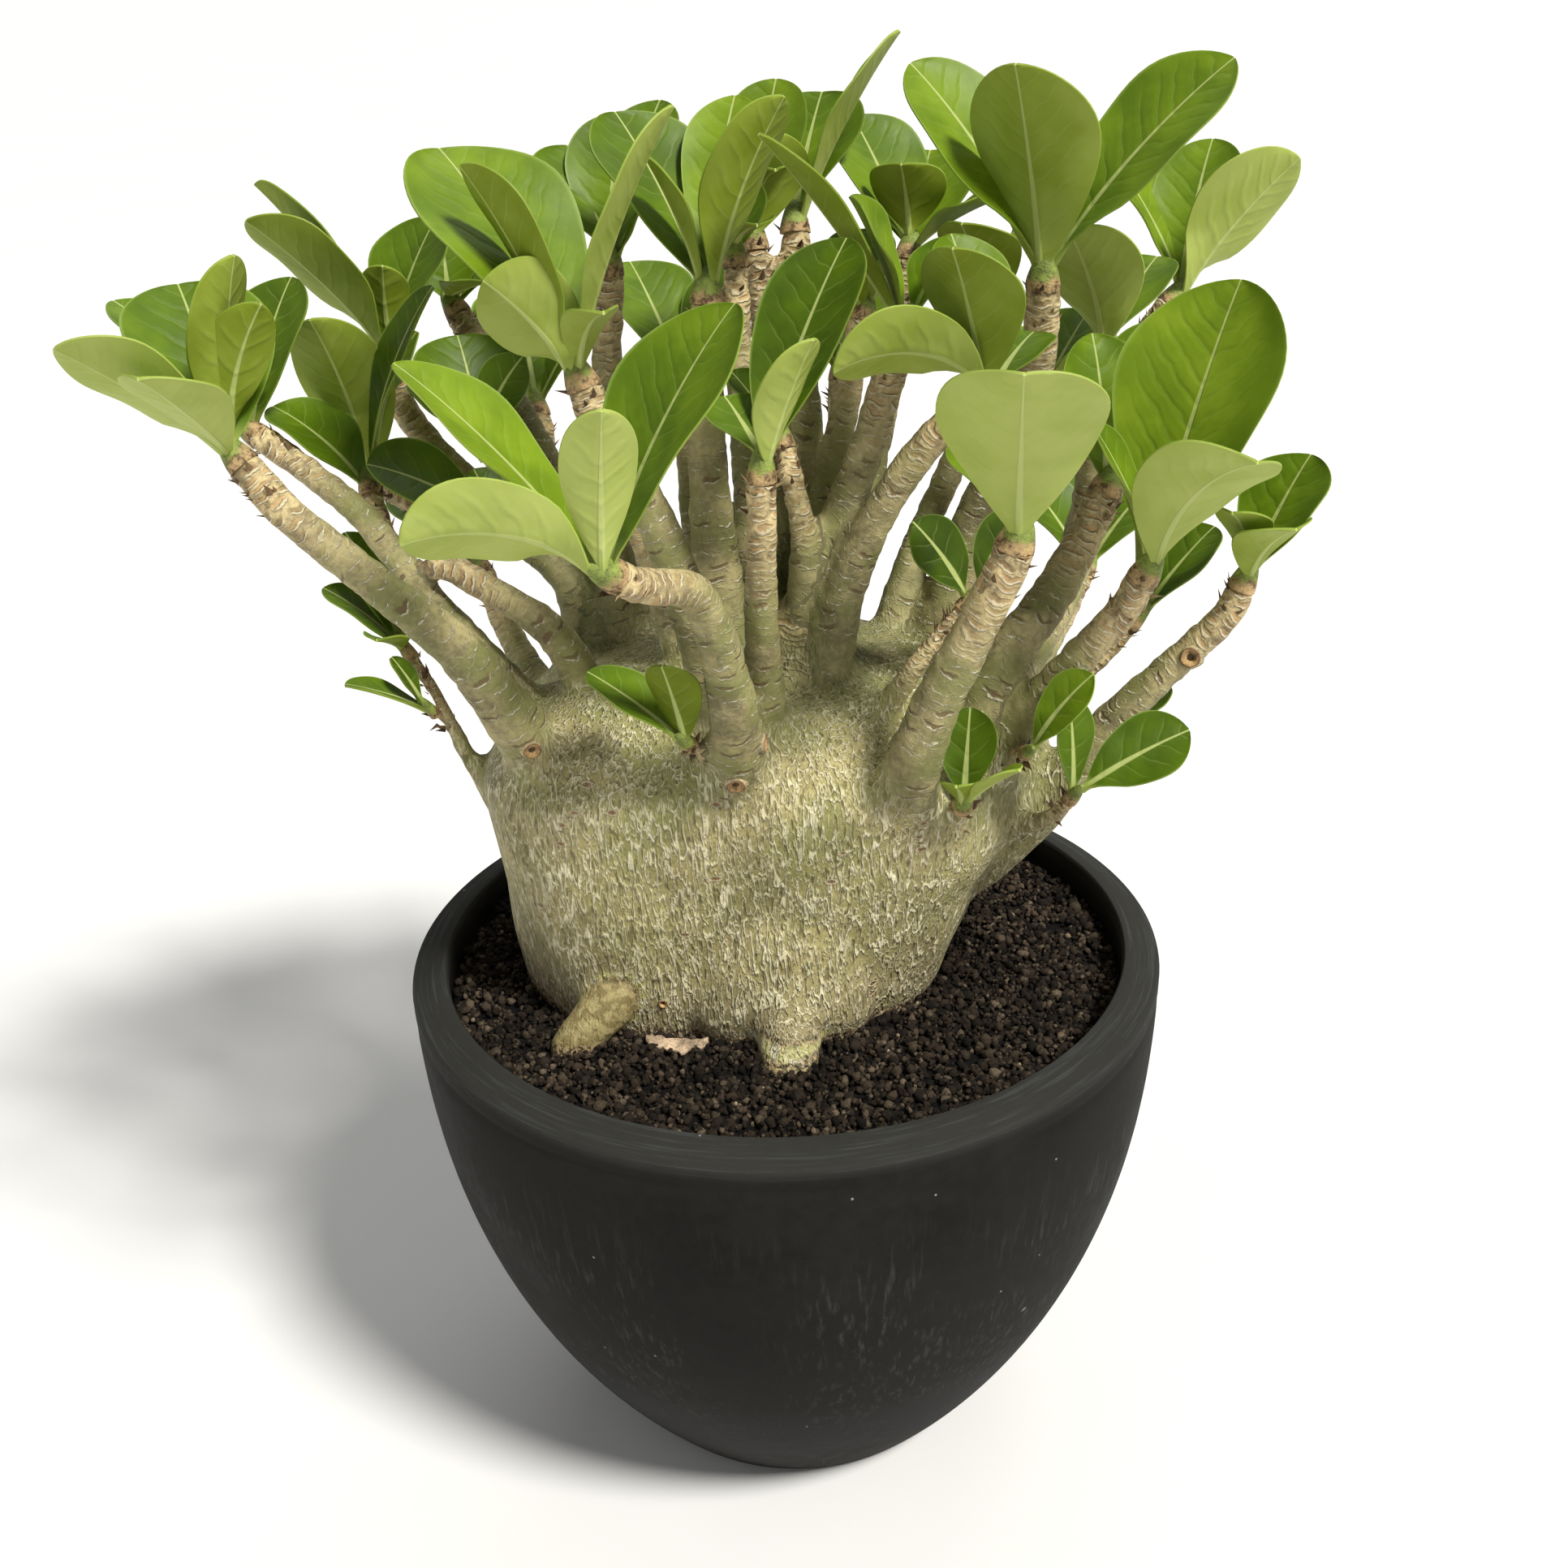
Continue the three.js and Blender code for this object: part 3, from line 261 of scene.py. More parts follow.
# A stub's rings from its foot inwards: reach as a share of its radius, height as one of STUB_RISE, shade
STUB_PROFILE = [(1.25, -0.8, 0), (1.1, 0.5, 0.1), (0.92, 1, 0.3), (0.7, 0.85, 0.75), (0.45, 0.35, 0.6),
                (0.28, -0.5, 1)]
PORE_PLACES = [
    (-74.3, -24, 240.7), (-77.5, -22, 233.1), (-54.5, -44, 252.4), (-61, -40, 240.1), (-62.3, -40, 233.8),
    (-47.9, -48, 244.4), (38.7, -47, 234.9), (38.8, -46, 229.9),
]
PORES = 22
PORE_SIZE = (1.3, 2.3)
PLACED_PORE_SIZE = (1.9, 2.5)
PORE_HEIGHTS = (176, 262)
PORES_IN_FRONT = 0.7
PORE_FLATNESS = 2.2
SCALES_PER_TIP = 12
SCALE_REACH = 14
SCALE_LENGTH = (1.5, 3.2)
CRUMBS = 46
CRUMB_REACH = 104
SCRAP_LINE = [(-43, -47), (-38, -50.5), (-31, -52), (-24, -51)]
SCRAP_WIDTH = 8.5
SCRAP_THICKNESS = 0.6


# Curves and rings

def curve_points(route, short=0.0, per_span=24):
    """The smooth curve through a route's points, finely stepped, as three.js draws it."""
    points = [np.array(p, float) for p in route]
    way = points[-1] - points[-2]
    points[-1] = points[-1] - way / np.linalg.norm(way) * short
    points = [2 * points[0] - points[1]] + points + [2 * points[-1] - points[-2]]
    fine = []
    for a, b, c, d in zip(points, points[1:], points[2:], points[3:]):
        first, middle, last = (np.linalg.norm(q - p) ** 0.5 for p, q in ((a, b), (b, c), (c, d)))
        start = ((b - a) / first - (c - a) / (first + middle) + (c - b) / middle) * middle
        stop = ((c - b) / middle - (d - b) / (middle + last) + (d - c) / last) * middle
        for k in range(per_span):
            t = k / per_span
            bend = -3 * b + 3 * c - 2 * start - stop
            fine.append(b + start * t + bend * t * t + (2 * b - 2 * c + start + stop) * t ** 3)
    fine.append(points[-2])
    return np.array(fine)


def stepped(points, step):
    """A line of points about one step apart, with each point's way and its length so far."""
    spans = np.linalg.norm(np.diff(points, axis=0), axis=1)
    length = np.concatenate([[0], np.cumsum(spans)])
    count = max(4, int(round(length[-1] / step)))
    places = np.linspace(0, length[-1], count + 1)
    line = np.stack([np.interp(places, length, points[:, axis]) for axis in range(3)], axis=1)
    ways = np.gradient(line, axis=0)
    ways /= np.linalg.norm(ways, axis=1)[:, None]
    ways[-1] = points[-1] - points[-2]
    ways[-1] /= np.linalg.norm(ways[-1])
    return line, ways, places


def turning_frames(ways):
    """Two sideways directions at each step that turn as little as they can along the line."""
    side = np.cross(ways[0], (0.3, 0.9, 0.1))
    sides = []
    for way in ways:
        side = side - way * np.dot(side, way)
        side /= np.linalg.norm(side)
        sides.append(side)
    sides = np.array(sides)
    return sides, np.cross(ways, sides)


def loft(rings, close=False):
    """Points and faces of a skin over rings of the same count, with its ends closed."""
    sides = len(rings[0])
    points = [tuple(p) for ring in rings for p in ring]
    faces = []
    for i in range(len(rings) - 1):
        for j in range(sides):
            a = i * sides + j
            b = i * sides + (j + 1) % sides
            faces.append((a, b, b + sides, a + sides))
    if close:
        last = (len(rings) - 1) * sides
        faces.append(tuple(range(sides - 1, -1, -1)))
        faces.append(tuple(range(last, last + sides)))
    return points, faces


def joined(parts):
    """One list of points and one of faces out of several."""
    points = []
    faces = []
    for more_points, more_faces in parts:
        start = len(points)
        points.extend(more_points)
        faces.extend(tuple(start + i for i in face) for face in more_faces)
    return points, faces


def new_object(name, data):
    made = bpy.data.objects.new(name, data)
    bpy.context.scene.collection.objects.link(made)
    return made


def new_mesh(name, points, faces):
    """A mesh from points in mm."""
    mesh = bpy.data.meshes.new(name)
    mesh.from_pydata([(x * MM, y * MM, z * MM) for x, y, z in points], [], faces)
    return mesh


def shaped(source):
    """The mesh of an object as its modifiers make it."""
    ready = source.evaluated_get(bpy.context.evaluated_depsgraph_get())
    return bpy.data.meshes.new_from_object(ready)


def make_piece(name, points, faces, slot, material, sharp=None):
    """A piece from points in mm, riding on the part's body."""
    return place_mesh(name, new_mesh(name, points, faces), material, sharp)


def place_mesh(name, mesh, material, sharp=None):
    """A smooth mesh as a piece of the plant; edges above the sharp angle stay crisp."""
    mesh.polygons.foreach_set("use_smooth", [True] * len(mesh.polygons))
    if sharp:
        mesh.set_sharp_from_angle(angle=math.radians(sharp))
    mesh.materials.append(material)
    piece = new_object(name, mesh)
    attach(piece, "root")
    return piece


def point_values(mesh, name, values):
    """Keeps a number or a vector for each point, for the material to read."""
    values = np.asarray(values, np.float32)
    kind, field = ("FLOAT", "value") if values.ndim == 1 else ("FLOAT_VECTOR", "vector")
    mesh.attributes.new(name, kind, "POINT").data.foreach_set(field, values.ravel())


def smooth_step(low, high, value):
    share = np.clip((value - low) / (high - low), 0, 1)
    return share * share * (3 - 2 * share)


def level_ring(radius, height, sides):
    angles = np.linspace(0, 2 * math.pi, sides, endpoint=False)
    return [(radius * math.cos(a), radius * math.sin(a), height) for a in angles]


# Branch lines, shared by the bark and the leaves

class Branch:
    def __init__(self, name, route, radii, leaves):
        self.name = name
        self.leaves = leaves
        self.root_radius, self.end_radius = radii
        self.points = curve_points(route, BUD_DEPTH if leaves else 0)
        self.end = self.points[-1]
        way = self.points[-1] - self.points[-2]
        self.way = way / np.linalg.norm(way)

    def radius(self, share):
        return self.end_radius + (self.root_radius - self.end_radius) * (1 - share) ** BRANCH_TAPER


branches = [Branch(*row) for row in BRANCHES]


# Shader building

class Value:
    """A number, colour or place in a material, with plain sums on it."""

    def __init__(self, shader, socket):
        self.shader = shader
        self.socket = socket

    def __add__(self, other):
        return self.shader.math("ADD", self, other)

    def __sub__(self, other):
        return self.shader.math("SUBTRACT", self, other)

    def __mul__(self, other):
        return self.shader.math("MULTIPLY", self, other)

    def __truediv__(self, other):
        return self.shader.math("DIVIDE", self, other)

    def __rtruediv__(self, other):
        return self.shader.math("DIVIDE", other, self)

    def __abs__(self):
        return self.shader.math("ABSOLUTE", self)


class Shader:
    """Short calls for the nodes of one material or node group. Spans are in mm."""

    def __init__(self, tree):
        self.tree = tree

    def feed(self, socket, given):
        """Links a value to a socket, or sets a plain number, colour or place on it."""
        if isinstance(given, Value):
            self.tree.links.new(given.socket, socket)
        else:
            socket.default_value = given

    def node(self, kind, inputs=None, **settings):
        made = self.tree.nodes.new(kind)
        for name, setting in settings.items():
            setattr(made, name, setting)
        for name, given in (inputs or {}).items():
            self.feed(made.inputs[name], given)
        return made

    def value(self, kind, inputs=None, output=0, **settings):
        return Value(self, self.node(kind, inputs, **settings).outputs[output])

    def math(self, operation, first, second=None, clamp=False):
        values = {0: first} if second is None else {0: first, 1: second}
        return self.value("ShaderNodeMath", values, operation=operation, use_clamp=clamp)

    def vector_math(self, operation, first, second):
        return self.value("ShaderNodeVectorMath", {0: first, 1: second}, operation=operation)

    def stretch(self, vector, scale):
        return self.vector_math("MULTIPLY", vector, scale)

    def mix(self, factor, first, second):
        return self.value("ShaderNodeMix", {0: factor, 6: first, 7: second}, 2, data_type="RGBA")

    def between(self, factor, low, high):
        """A number from low to high by the factor."""
        return self.value("ShaderNodeMix", {0: factor, 2: low, 3: high})

    def fade(self, value, low, high, bottom=0.0, top=1.0):
        values = {0: value, 1: low, 2: high, 3: bottom, 4: top}
        return self.value("ShaderNodeMapRange", values, interpolation_type="SMOOTHSTEP")

    def attribute(self, name, output="Vector"):
        return self.value("ShaderNodeAttribute", output=output, attribute_name=name)

    def parts(self, vector):
        return [Value(self, socket) for socket in self.node("ShaderNodeSeparateXYZ", {0: vector}).outputs]

    def noise(self, vector, span, detail=2.0, roughness=0.5):
        values = {"Vector": vector, "Scale": 1 / span, "Detail": detail, "Roughness": roughness}
        return self.value("ShaderNodeTexNoise", values)

    def luck(self, place):
        """A random share for each place."""
        return self.value("ShaderNodeTexWhiteNoise", {0: place}, noise_dimensions="3D")

    def cells(self, vector, span, feature="F1", output="Distance"):
        values = {"Vector": vector, "Scale": 1 / span}
        return self.value("ShaderNodeTexVoronoi", values, output, feature=feature)

    def warped(self, vector, span, amount):
        """The vector pushed about by a noise of the given span, by up to about the amount."""
        push = self.value("ShaderNodeTexNoise", {"Vector": vector, "Scale": 1 / span, "Detail": 2.0}, "Color")
        push = self.vector_math("SUBTRACT", push, (0.5, 0.5, 0.5))
        return self.vector_math("ADD", vector, self.stretch(push, (2 * amount, 2 * amount, 2 * amount)))

    def ramp(self, factor, stops):
        made = self.node("ShaderNodeValToRGB", {0: factor})
        ends = made.color_ramp.elements
        for end, (place, colour) in ((ends[0], stops[0]), (ends[1], stops[-1])):
            end.position = place
            end.color = (*colour, 1)
        for place, colour in stops[1:-1]:
            ends.new(place).color = (*colour, 1)
        return Value(self, made.outputs[0])

    def place_mm(self):
        """Where a point of the surface is, in mm."""
        return self.stretch(self.value("ShaderNodeTexCoord", output="Object"), (1000, 1000, 1000))

    def bump(self, height, strength, distance_mm):
        values = {"Height": height, "Strength": strength, "Distance": distance_mm * MM}
        return self.value("ShaderNodeBump", values)


def new_material(name):
    material = bpy.data.materials.new(name)
    material.use_nodes = True
    return material, Shader(material.node_tree), material.node_tree.nodes["Principled BSDF"]


def join_up(shader, surface, **sockets):
    """Links or sets the surface's sockets, their names given with _ for a space."""
    for name, given in sockets.items():
        shader.feed(surface.inputs[name.replace("_", " ")], given)


def new_group(name, inputs, outputs):
    """A node group with its sockets: inputs as (name, kind, value), outputs as (name, kind)."""
    tree = bpy.data.node_groups.new(name, "ShaderNodeTree")
    for label, kind, value in inputs:
        socket = tree.interface.new_socket(name=label, in_out="INPUT", socket_type=kind)
        if value is not None:
            socket.default_value = value
    for label, kind in outputs:
        tree.interface.new_socket(name=label, in_out="OUTPUT", socket_type=kind)
    shader = Shader(tree)
    given = {socket.name: Value(shader, socket) for socket in shader.node("NodeGroupInput").outputs}
    return tree, shader, given, shader.node("NodeGroupOutput")


def mottle_group():
    """Cloudy variation of a colour: a large and a small noise lighten and darken it."""
    tree, shader, given, result = new_group("Mottle", [
        ("Place", "NodeSocketVector", None), ("Colour", "NodeSocketColor", (0.5, 0.5, 0.5, 1)),
        ("Large span", "NodeSocketFloat", 20.0), ("Small span", "NodeSocketFloat", 2.0),
        ("Amount", "NodeSocketFloat", 0.3)], [("Colour", "NodeSocketColor"), ("Mask", "NodeSocketFloat")])
    large = shader.noise(given["Place"], given["Large span"], 3)
    small = shader.noise(given["Place"], given["Small span"], 4, 0.6)
    mask = shader.fade(large * 0.6 + small * 0.4, 0.34, 0.66)
    level = (mask - 0.5) * given["Amount"] + 1.0
    level = shader.value("ShaderNodeCombineXYZ", {0: level, 1: level, 2: level})
    shader.feed(result.inputs["Colour"], shader.stretch(given["Colour"], level))
    shader.feed(result.inputs["Mask"], mask)
    return tree


def grain_group():
    """The fine grain of a surface as a height, for its bump."""
    tree, shader, given, result = new_group("Grain", [
        ("Place", "NodeSocketVector", None), ("Span", "NodeSocketFloat", 1.0),
        ("Detail", "NodeSocketFloat", 3.0), ("Roughness", "NodeSocketFloat", 0.5)],
        [("Height", "NodeSocketFloat")])
    height = shader.noise(given["Place"], given["Span"], given["Detail"], given["Roughness"])
    shader.feed(result.inputs["Height"], height)
    return tree


mottle = mottle_group()
grain = grain_group()


def mottled(shader, place, colour, large, small, amount):
    values = {"Place": place, "Colour": colour, "Large span": large, "Small span": small, "Amount": amount}
    made = shader.node("ShaderNodeGroup", values, node_tree=mottle)
    return Value(shader, made.outputs["Colour"]), Value(shader, made.outputs["Mask"])


def grained(shader, place, span, detail=3, roughness=0.5):
    values = {"Place": place, "Span": span, "Detail": detail, "Roughness": roughness}
    return shader.value("ShaderNodeGroup", values, "Height", node_tree=grain)


def crumbly(shader, surface, own, clouds, grains, bump, **sockets):
    """A dull mottled and grained finish: clouds, grains and bump as mottled, grained and bump take them."""
    place = shader.place_mm()
    colour, _ = mottled(shader, place, own, *clouds)
    normal = shader.bump(grained(shader, place, *grains), *bump)
    join_up(shader, surface, Base_Color=colour, Normal=normal, **sockets)


# Camera and lights

CAMERA_PLACE = (0.0016, -0.4803, 0.4598)
CAMERA_TILT = 90 - 25.73
CAMERA_ROLL = -2.11
CAMERA_FOCUS_PX = 2100
PHOTO_PX = 1932
SENSOR = 36
FLOOR_REACH = 150
FLOOR_COLOUR = (0.77, 0.765, 0.755, 1)
WHITE = (1, 1, 1)
WORLD_LIGHT = 0.23
# Far soft lights: name, azimuth (0 in front, 90 at the right), height above level, strength, softness
LIGHTS = [
    ("key", 46, 52, 4.3, 12, (1, 0.985, 0.93)), ("fill", -60, 35, 0.25, 70, WHITE),
    ("back", 165, 50, 0.6, 50, WHITE),
]


def set_camera():
    data = bpy.data.cameras.new("camera")
    data.sensor_width = SENSOR
    data.lens = CAMERA_FOCUS_PX / PHOTO_PX * SENSOR
    data.clip_start = 0.01
    data.clip_end = 2 * FLOOR_REACH
    camera = new_object("camera", data)
    tilt = Matrix.Rotation(math.radians(CAMERA_TILT), 4, "X")
    roll = Matrix.Rotation(math.radians(CAMERA_ROLL), 4, "Z")
    camera.matrix_world = Matrix.Translation(CAMERA_PLACE) @ tilt @ roll
    bpy.context.scene.camera = camera


def add_sun(name, azimuth, height, strength, softness, colour):
    data = bpy.data.lights.new(name, "SUN")
    data.energy = strength
    data.angle = math.radians(softness)
    data.color = colour
    around, up = math.radians(azimuth), math.radians(height)
    place = Vector((math.sin(around) * math.cos(up), -math.cos(around) * math.cos(up), math.sin(up)))
    new_object(name, data).rotation_euler = place.to_track_quat("Z", "Y").to_euler()


def set_lights():
    for light in LIGHTS:
        add_sun(*light)
    world = bpy.data.worlds.new("studio")
    world.use_nodes = True
    world.node_tree.nodes["Background"].inputs["Color"].default_value = (*WHITE, 1)
    world.node_tree.nodes["Background"].inputs["Strength"].default_value = WORLD_LIGHT
    bpy.context.scene.world = world
    bpy.context.scene.view_settings.view_transform = "Standard"


def lay_floor():
    material, shader, surface = new_material("pale_floor")
    colour, _ = mottled(shader, shader.place_mm(), FLOOR_COLOUR, 400, 60, 0.03)
    join_up(shader, surface, Base_Color=colour, Roughness=0.6, Specular_IOR_Level=0.2)
    mesh = bpy.data.meshes.new("floor")
    reach = FLOOR_REACH
    mesh.from_pydata([(-reach, -reach, 0), (reach, -reach, 0), (reach, reach, 0), (-reach, reach, 0)], [],
                     [(0, 1, 2, 3)])
    mesh.materials.append(material)
    floor = new_object("floor", mesh)


set_camera()
set_lights()
lay_floor()


# Bark

BARK_VOXEL = 1.66
STEM_RING_SIDES = 120
TUBE_SIDES = 24
TUBE_STEP = 2.0
LINE_STEP = 2.5
CREASE_WIDTH = 5.0
CREASE_ROUNDS = 18
# How far each round melts the bark: everywhere, more in creases, and over the front root
MELT = 0.12
CREASE_MELT = 0.6
ROOT_MELT = 0.7
FRONT_ROOT_JOINT = 172.8
ROOT_BLEND = 12.0
ROOT_ROUNDS = 40
# The soft shoulder over the front root, in levels as the stem's
ROOT_SHOULDER = [(160, -2, -40, 26, 11), (170, -2, -40, 30, 12), (175.5, -2, -40, 31, 14),
                 (184, -2, -41, 28, 11.5), (196, 0, -43, 20, 8.5), (208, 2, -43, 10, 7)]
ROOT_TOP = STEM_LEVELS[4][0]
LUMP_SPAN = 17.0
LUMP_HEIGHT = 0.9
KNOB_SPAN = 4.2
KNOB_HEIGHT = 0.5
RIDGE_SPAN = 4.6
RIDGE_HEIGHT = 0.35
ROOT_END = 0.22
BRANCH_SPAN = 80
# Over what distances a branch counts as close by, and the stem's skin gives way to that of the branches
CROWD_REACH = (6, 22)
STEM_EDGE = (-2, 14)
# With how many close branches the bark takes painted shade with a mossy tint, and where in X the roots turn
# brown
CROWDED_SHADE = (2.2, 5.5)
BROWNER_X = (-25, -35)


def stem_outline(height, middle_x, middle_y, half_width, half_depth, sides):
    ring = []
    for j in range(sides):
        angle = j / sides * 2 * math.pi
        power = 2 / STEM_SQUARENESS
        across = math.copysign(abs(math.cos(angle)) ** power, math.cos(angle))
        deep = math.copysign(abs(math.sin(angle)) ** power, math.sin(angle))
        lobe = 1 - STEM_LOBE_DEPTH * (1 - math.cos(STEM_LOBES * angle + height / STEM_LOBE_TWIST))
        ring.append((middle_x + half_width * lobe * across, middle_y + half_depth * lobe * deep, height))
    return ring


def tube(points, radius_at):
    line, ways, places = stepped(points, TUBE_STEP)
    across, over = turning_frames(ways)
    angles = np.linspace(0, 2 * math.pi, TUBE_SIDES, endpoint=False)
    rings = []
    for middle, a, b, place in zip(line, across, over, places):
        radius = radius_at(place / places[-1])
        rings.append(middle + radius * (np.outer(np.cos(angles), a) + np.outer(np.sin(angles), b)))
    return loft(rings, close=True)


def root_radius(share, radii):
    """A surface root keeps its thickness and ends round."""
    root, end = radii
    rounding = max(0, share - 1 + ROOT_END) / ROOT_END
    return (root + (end - root) * share) * math.sqrt(max(0.02, 1 - rounding ** 2.5))


def swelling(levels, per_span):
    """A closed lobed body through levels of height, middle, half width and half depth."""
    levels = curve_points(levels, 0, per_span)
    return loft([stem_outline(*level, STEM_RING_SIDES) for level in levels], close=True)


def bark_shell():
    """The swollen stem, its surface roots and all branches grown together into one skin."""
    parts = [swelling(STEM_LEVELS, 6)]
    for route, radii in ROOTS:
        parts.append(tube(curve_points(route), lambda t, radii=radii: root_radius(t, radii)))
    parts.append(swelling(ROOT_SHOULDER, 4))
    parts.extend(tube(branch.points, branch.radius) for branch in branches)
    mesh = new_mesh("bark_parts", *joined(parts))
    source = new_object("bark_parts", mesh)
    remesh = source.modifiers.new("grown together", "REMESH")
    remesh.mode = "VOXEL"
    remesh.voxel_size = BARK_VOXEL * MM
    shell = shaped(source)
    bpy.data.objects.remove(source)
    bpy.data.meshes.remove(mesh)
    return shell


def stem_at(heights):
    """Middle in X and Y, half width and half depth of the swollen stem at the given heights."""
    levels = np.array(STEM_LEVELS, float)
    return (np.interp(heights, levels[:, 0], levels[:, i]) for i in (1, 2, 3, 4))


def stem_distance(spots):
    """About how far points lie outside the swollen stem, in mm."""
    x, y, width, depth = stem_at(spots[:, 2])
    reach = (np.abs((spots[:, 0] - x) / width) ** STEM_SQUARENESS
             + np.abs((spots[:, 1] - y) / depth) ** STEM_SQUARENESS) ** (1 / STEM_SQUARENESS)
    beside = (reach - 1) * np.minimum(width, depth)
    return np.maximum(beside, spots[:, 2] - STEM_LEVELS[-1][0])


def nearest_branches(spots):
    """For each point: distance outside its branch and the next one, its place on its branch straightened
    out, how far it is from the tip, and how many branches stand close by."""
    best = np.full(len(spots), 1e9)
    second = np.full(len(spots), 1e9)
    straight = np.zeros((len(spots), 3))
    to_tip = np.zeros(len(spots))
    crowd = np.zeros(len(spots))
    for number, branch in enumerate(branches):
        line, ways, places = stepped(branch.points, LINE_STEP)
        across, over = turning_frames(ways)
        radii = np.array([branch.radius(t) for t in places / places[-1]])
        gaps = (spots ** 2).sum(1)[:, None] + (line ** 2).sum(1)[None] - 2 * spots @ line.T
        outside = np.sqrt(np.maximum(gaps, 0)) - radii
        near = outside.argmin(1)
        score = outside[np.arange(len(spots)), near]
        better = score < best
        crowd += 1 - smooth_step(*CROWD_REACH, score)
        second = np.where(better, best, np.minimum(second, score))
        best = np.where(better, score, best)
        rows = np.nonzero(better)[0]
        at = near[rows]
        away = spots[rows] - line[at]
        along = places[at] + (away * ways[at]).sum(1)
        straight[rows, 0] = (away * across[at]).sum(1) + BRANCH_SPAN * number
        straight[rows, 1] = (away * over[at]).sum(1)
        straight[rows, 2] = along
        to_tip[rows] = places[-1] - along
    return best, second, straight, to_tip, crowd


def root_distance(spots, root):
    """How far points lie outside a surface root, in mm."""
    route, radii = root
    line, _, places = stepped(curve_points(route), 1.0)
    thick = np.array([root_radius(t, radii) for t in places / places[-1]])
    return (np.linalg.norm(spots[:, None] - line[None], axis=2) - thick).min(1)


def root_marks(spots, beside_stem):
    """How much of a surface root's skin, and of the dark joint round it, each point has."""
    low = np.nonzero(spots[:, 2] < ROOT_TOP)[0]
    on_root = np.zeros(len(spots))
    joint = np.zeros(len(spots))
    side, front = (root_distance(spots[low], root) for root in ROOTS)
    around = beside_stem[low]
    height = spots[low, 2] + 1.5 * noise_values(spots[low], 5.0)
    near_front = 1 - smooth_step(0.5, 4, front)
    below = 1 - smooth_step(FRONT_ROOT_JOINT - 0.8, FRONT_ROOT_JOINT + 0.2, height)
    in_front = near_front * below * smooth_step(0.5, 3, around)
    on_root[low] = np.maximum(1 - smooth_step(0, 2.5, side), in_front)
    side_joint = 0.8 * np.exp(-np.abs(side - around) / 0.9) * (1 - smooth_step(4, 8, around))
    front_joint = near_front * np.exp(-np.abs(height - FRONT_ROOT_JOINT) / 0.9) * smooth_step(1, 3, around)
    joint[low] = np.maximum(side_joint, front_joint)
    return on_root, joint


def noise_values(spots, span, seed=0.0):
    scale = 1 / span
    return np.array([noise.noise((x * scale + seed, y * scale, z * scale)) for x, y, z in spots])


def mesh_points(mesh):
    spots = np.empty(len(mesh.vertices) * 3)
    mesh.vertices.foreach_get("co", spots)
    return spots.reshape(-1, 3) / MM


def mesh_normals(mesh):
    ways = np.empty(len(mesh.vertices) * 3)
    mesh.vertices.foreach_get("normal", ways)
    return ways.reshape(-1, 3)


def set_mesh_points(mesh, spots):
    mesh.vertices.foreach_set("co", (spots * MM).astype(np.float32).ravel())
    mesh.update()


def melt_creases(spots, edges, weight, rounds):
    """Smooths the points by their weight, so that branches run softly into what they grow from."""
    a, b = edges[:, 0], edges[:, 1]
    count = np.bincount(a, minlength=len(spots)) + np.bincount(b, minlength=len(spots))
    for _ in range(rounds):
        total = np.stack([np.bincount(a, spots[b, k], len(spots)) + np.bincount(b, spots[a, k], len(spots))
                          for k in range(3)], axis=1)
        spots = spots + (total / count[:, None] - spots) * weight[:, None]
    return spots


def melted_bark(mesh):
    """The bark's points, with its creases and the front root's shoulder run soft."""
    spots = mesh_points(mesh)
    edges = np.empty(len(mesh.edges) * 2, np.int32)
    mesh.edges.foreach_get("vertices", edges)
    edges = edges.reshape(-1, 2)
    best, second, *_ = nearest_branches(spots)
    stem = stem_distance(spots)
    nearer = np.minimum(np.maximum(best, stem), second)
    crease = np.exp(-np.abs(nearer - np.minimum(best, stem)) / CREASE_WIDTH)
    low = np.nonzero(spots[:, 2] < ROOT_TOP)[0]
    beside_root = np.abs(root_distance(spots[low], ROOTS[1]) - stem[low])
    above_joint = smooth_step(FRONT_ROOT_JOINT - 1, FRONT_ROOT_JOINT + 2, spots[low, 2])
    shoulder = np.zeros(len(spots))
    shoulder[low] = np.exp(-beside_root / ROOT_BLEND) * above_joint
    spots = melt_creases(spots, edges, MELT + CREASE_MELT * crease, CREASE_ROUNDS)
    return melt_creases(spots, edges, ROOT_MELT * shoulder, ROOT_ROUNDS)


def grow_bark():
    """The bark, with low lumps and ridges, and what its material reads at each point."""
    mesh = bark_shell()
    spots = melted_bark(mesh)
    set_mesh_points(mesh, spots)

    best, _, straight, to_tip, crowd = nearest_branches(spots)
    beside_stem = stem_distance(spots)
    on_stem = 1 - smooth_step(*STEM_EDGE, beside_stem - np.maximum(best, 0))
    on_root, crevice = root_marks(spots, beside_stem)
    scar, cut = nearest_scar(spots)
    along = stretched_noise(straight)
    lumps = noise_values(spots, LUMP_SPAN) * LUMP_HEIGHT * (0.35 + 0.65 * on_stem)
    knobs = (noise_values(straight, KNOB_SPAN, 5.7) * KNOB_HEIGHT + along * RIDGE_HEIGHT) * (1 - on_stem)
    set_mesh_points(mesh, spots + mesh_normals(mesh) * (lumps + knobs)[:, None])

    crowded_shade = smooth_step(*CROWDED_SHADE, crowd)
    browner = smooth_step(*BROWNER_X, spots[:, 0])
    point_values(mesh, "straight", straight)
    point_values(mesh, "bark", np.stack([on_stem, to_tip, crowded_shade], axis=1))
    point_values(mesh, "foot", np.stack([on_root * (1 + browner), crevice, cut], axis=1))
    point_values(mesh, "scar", scar)
    piece = place_mesh("bark", mesh, bark_material())
    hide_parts("wood")
    return piece


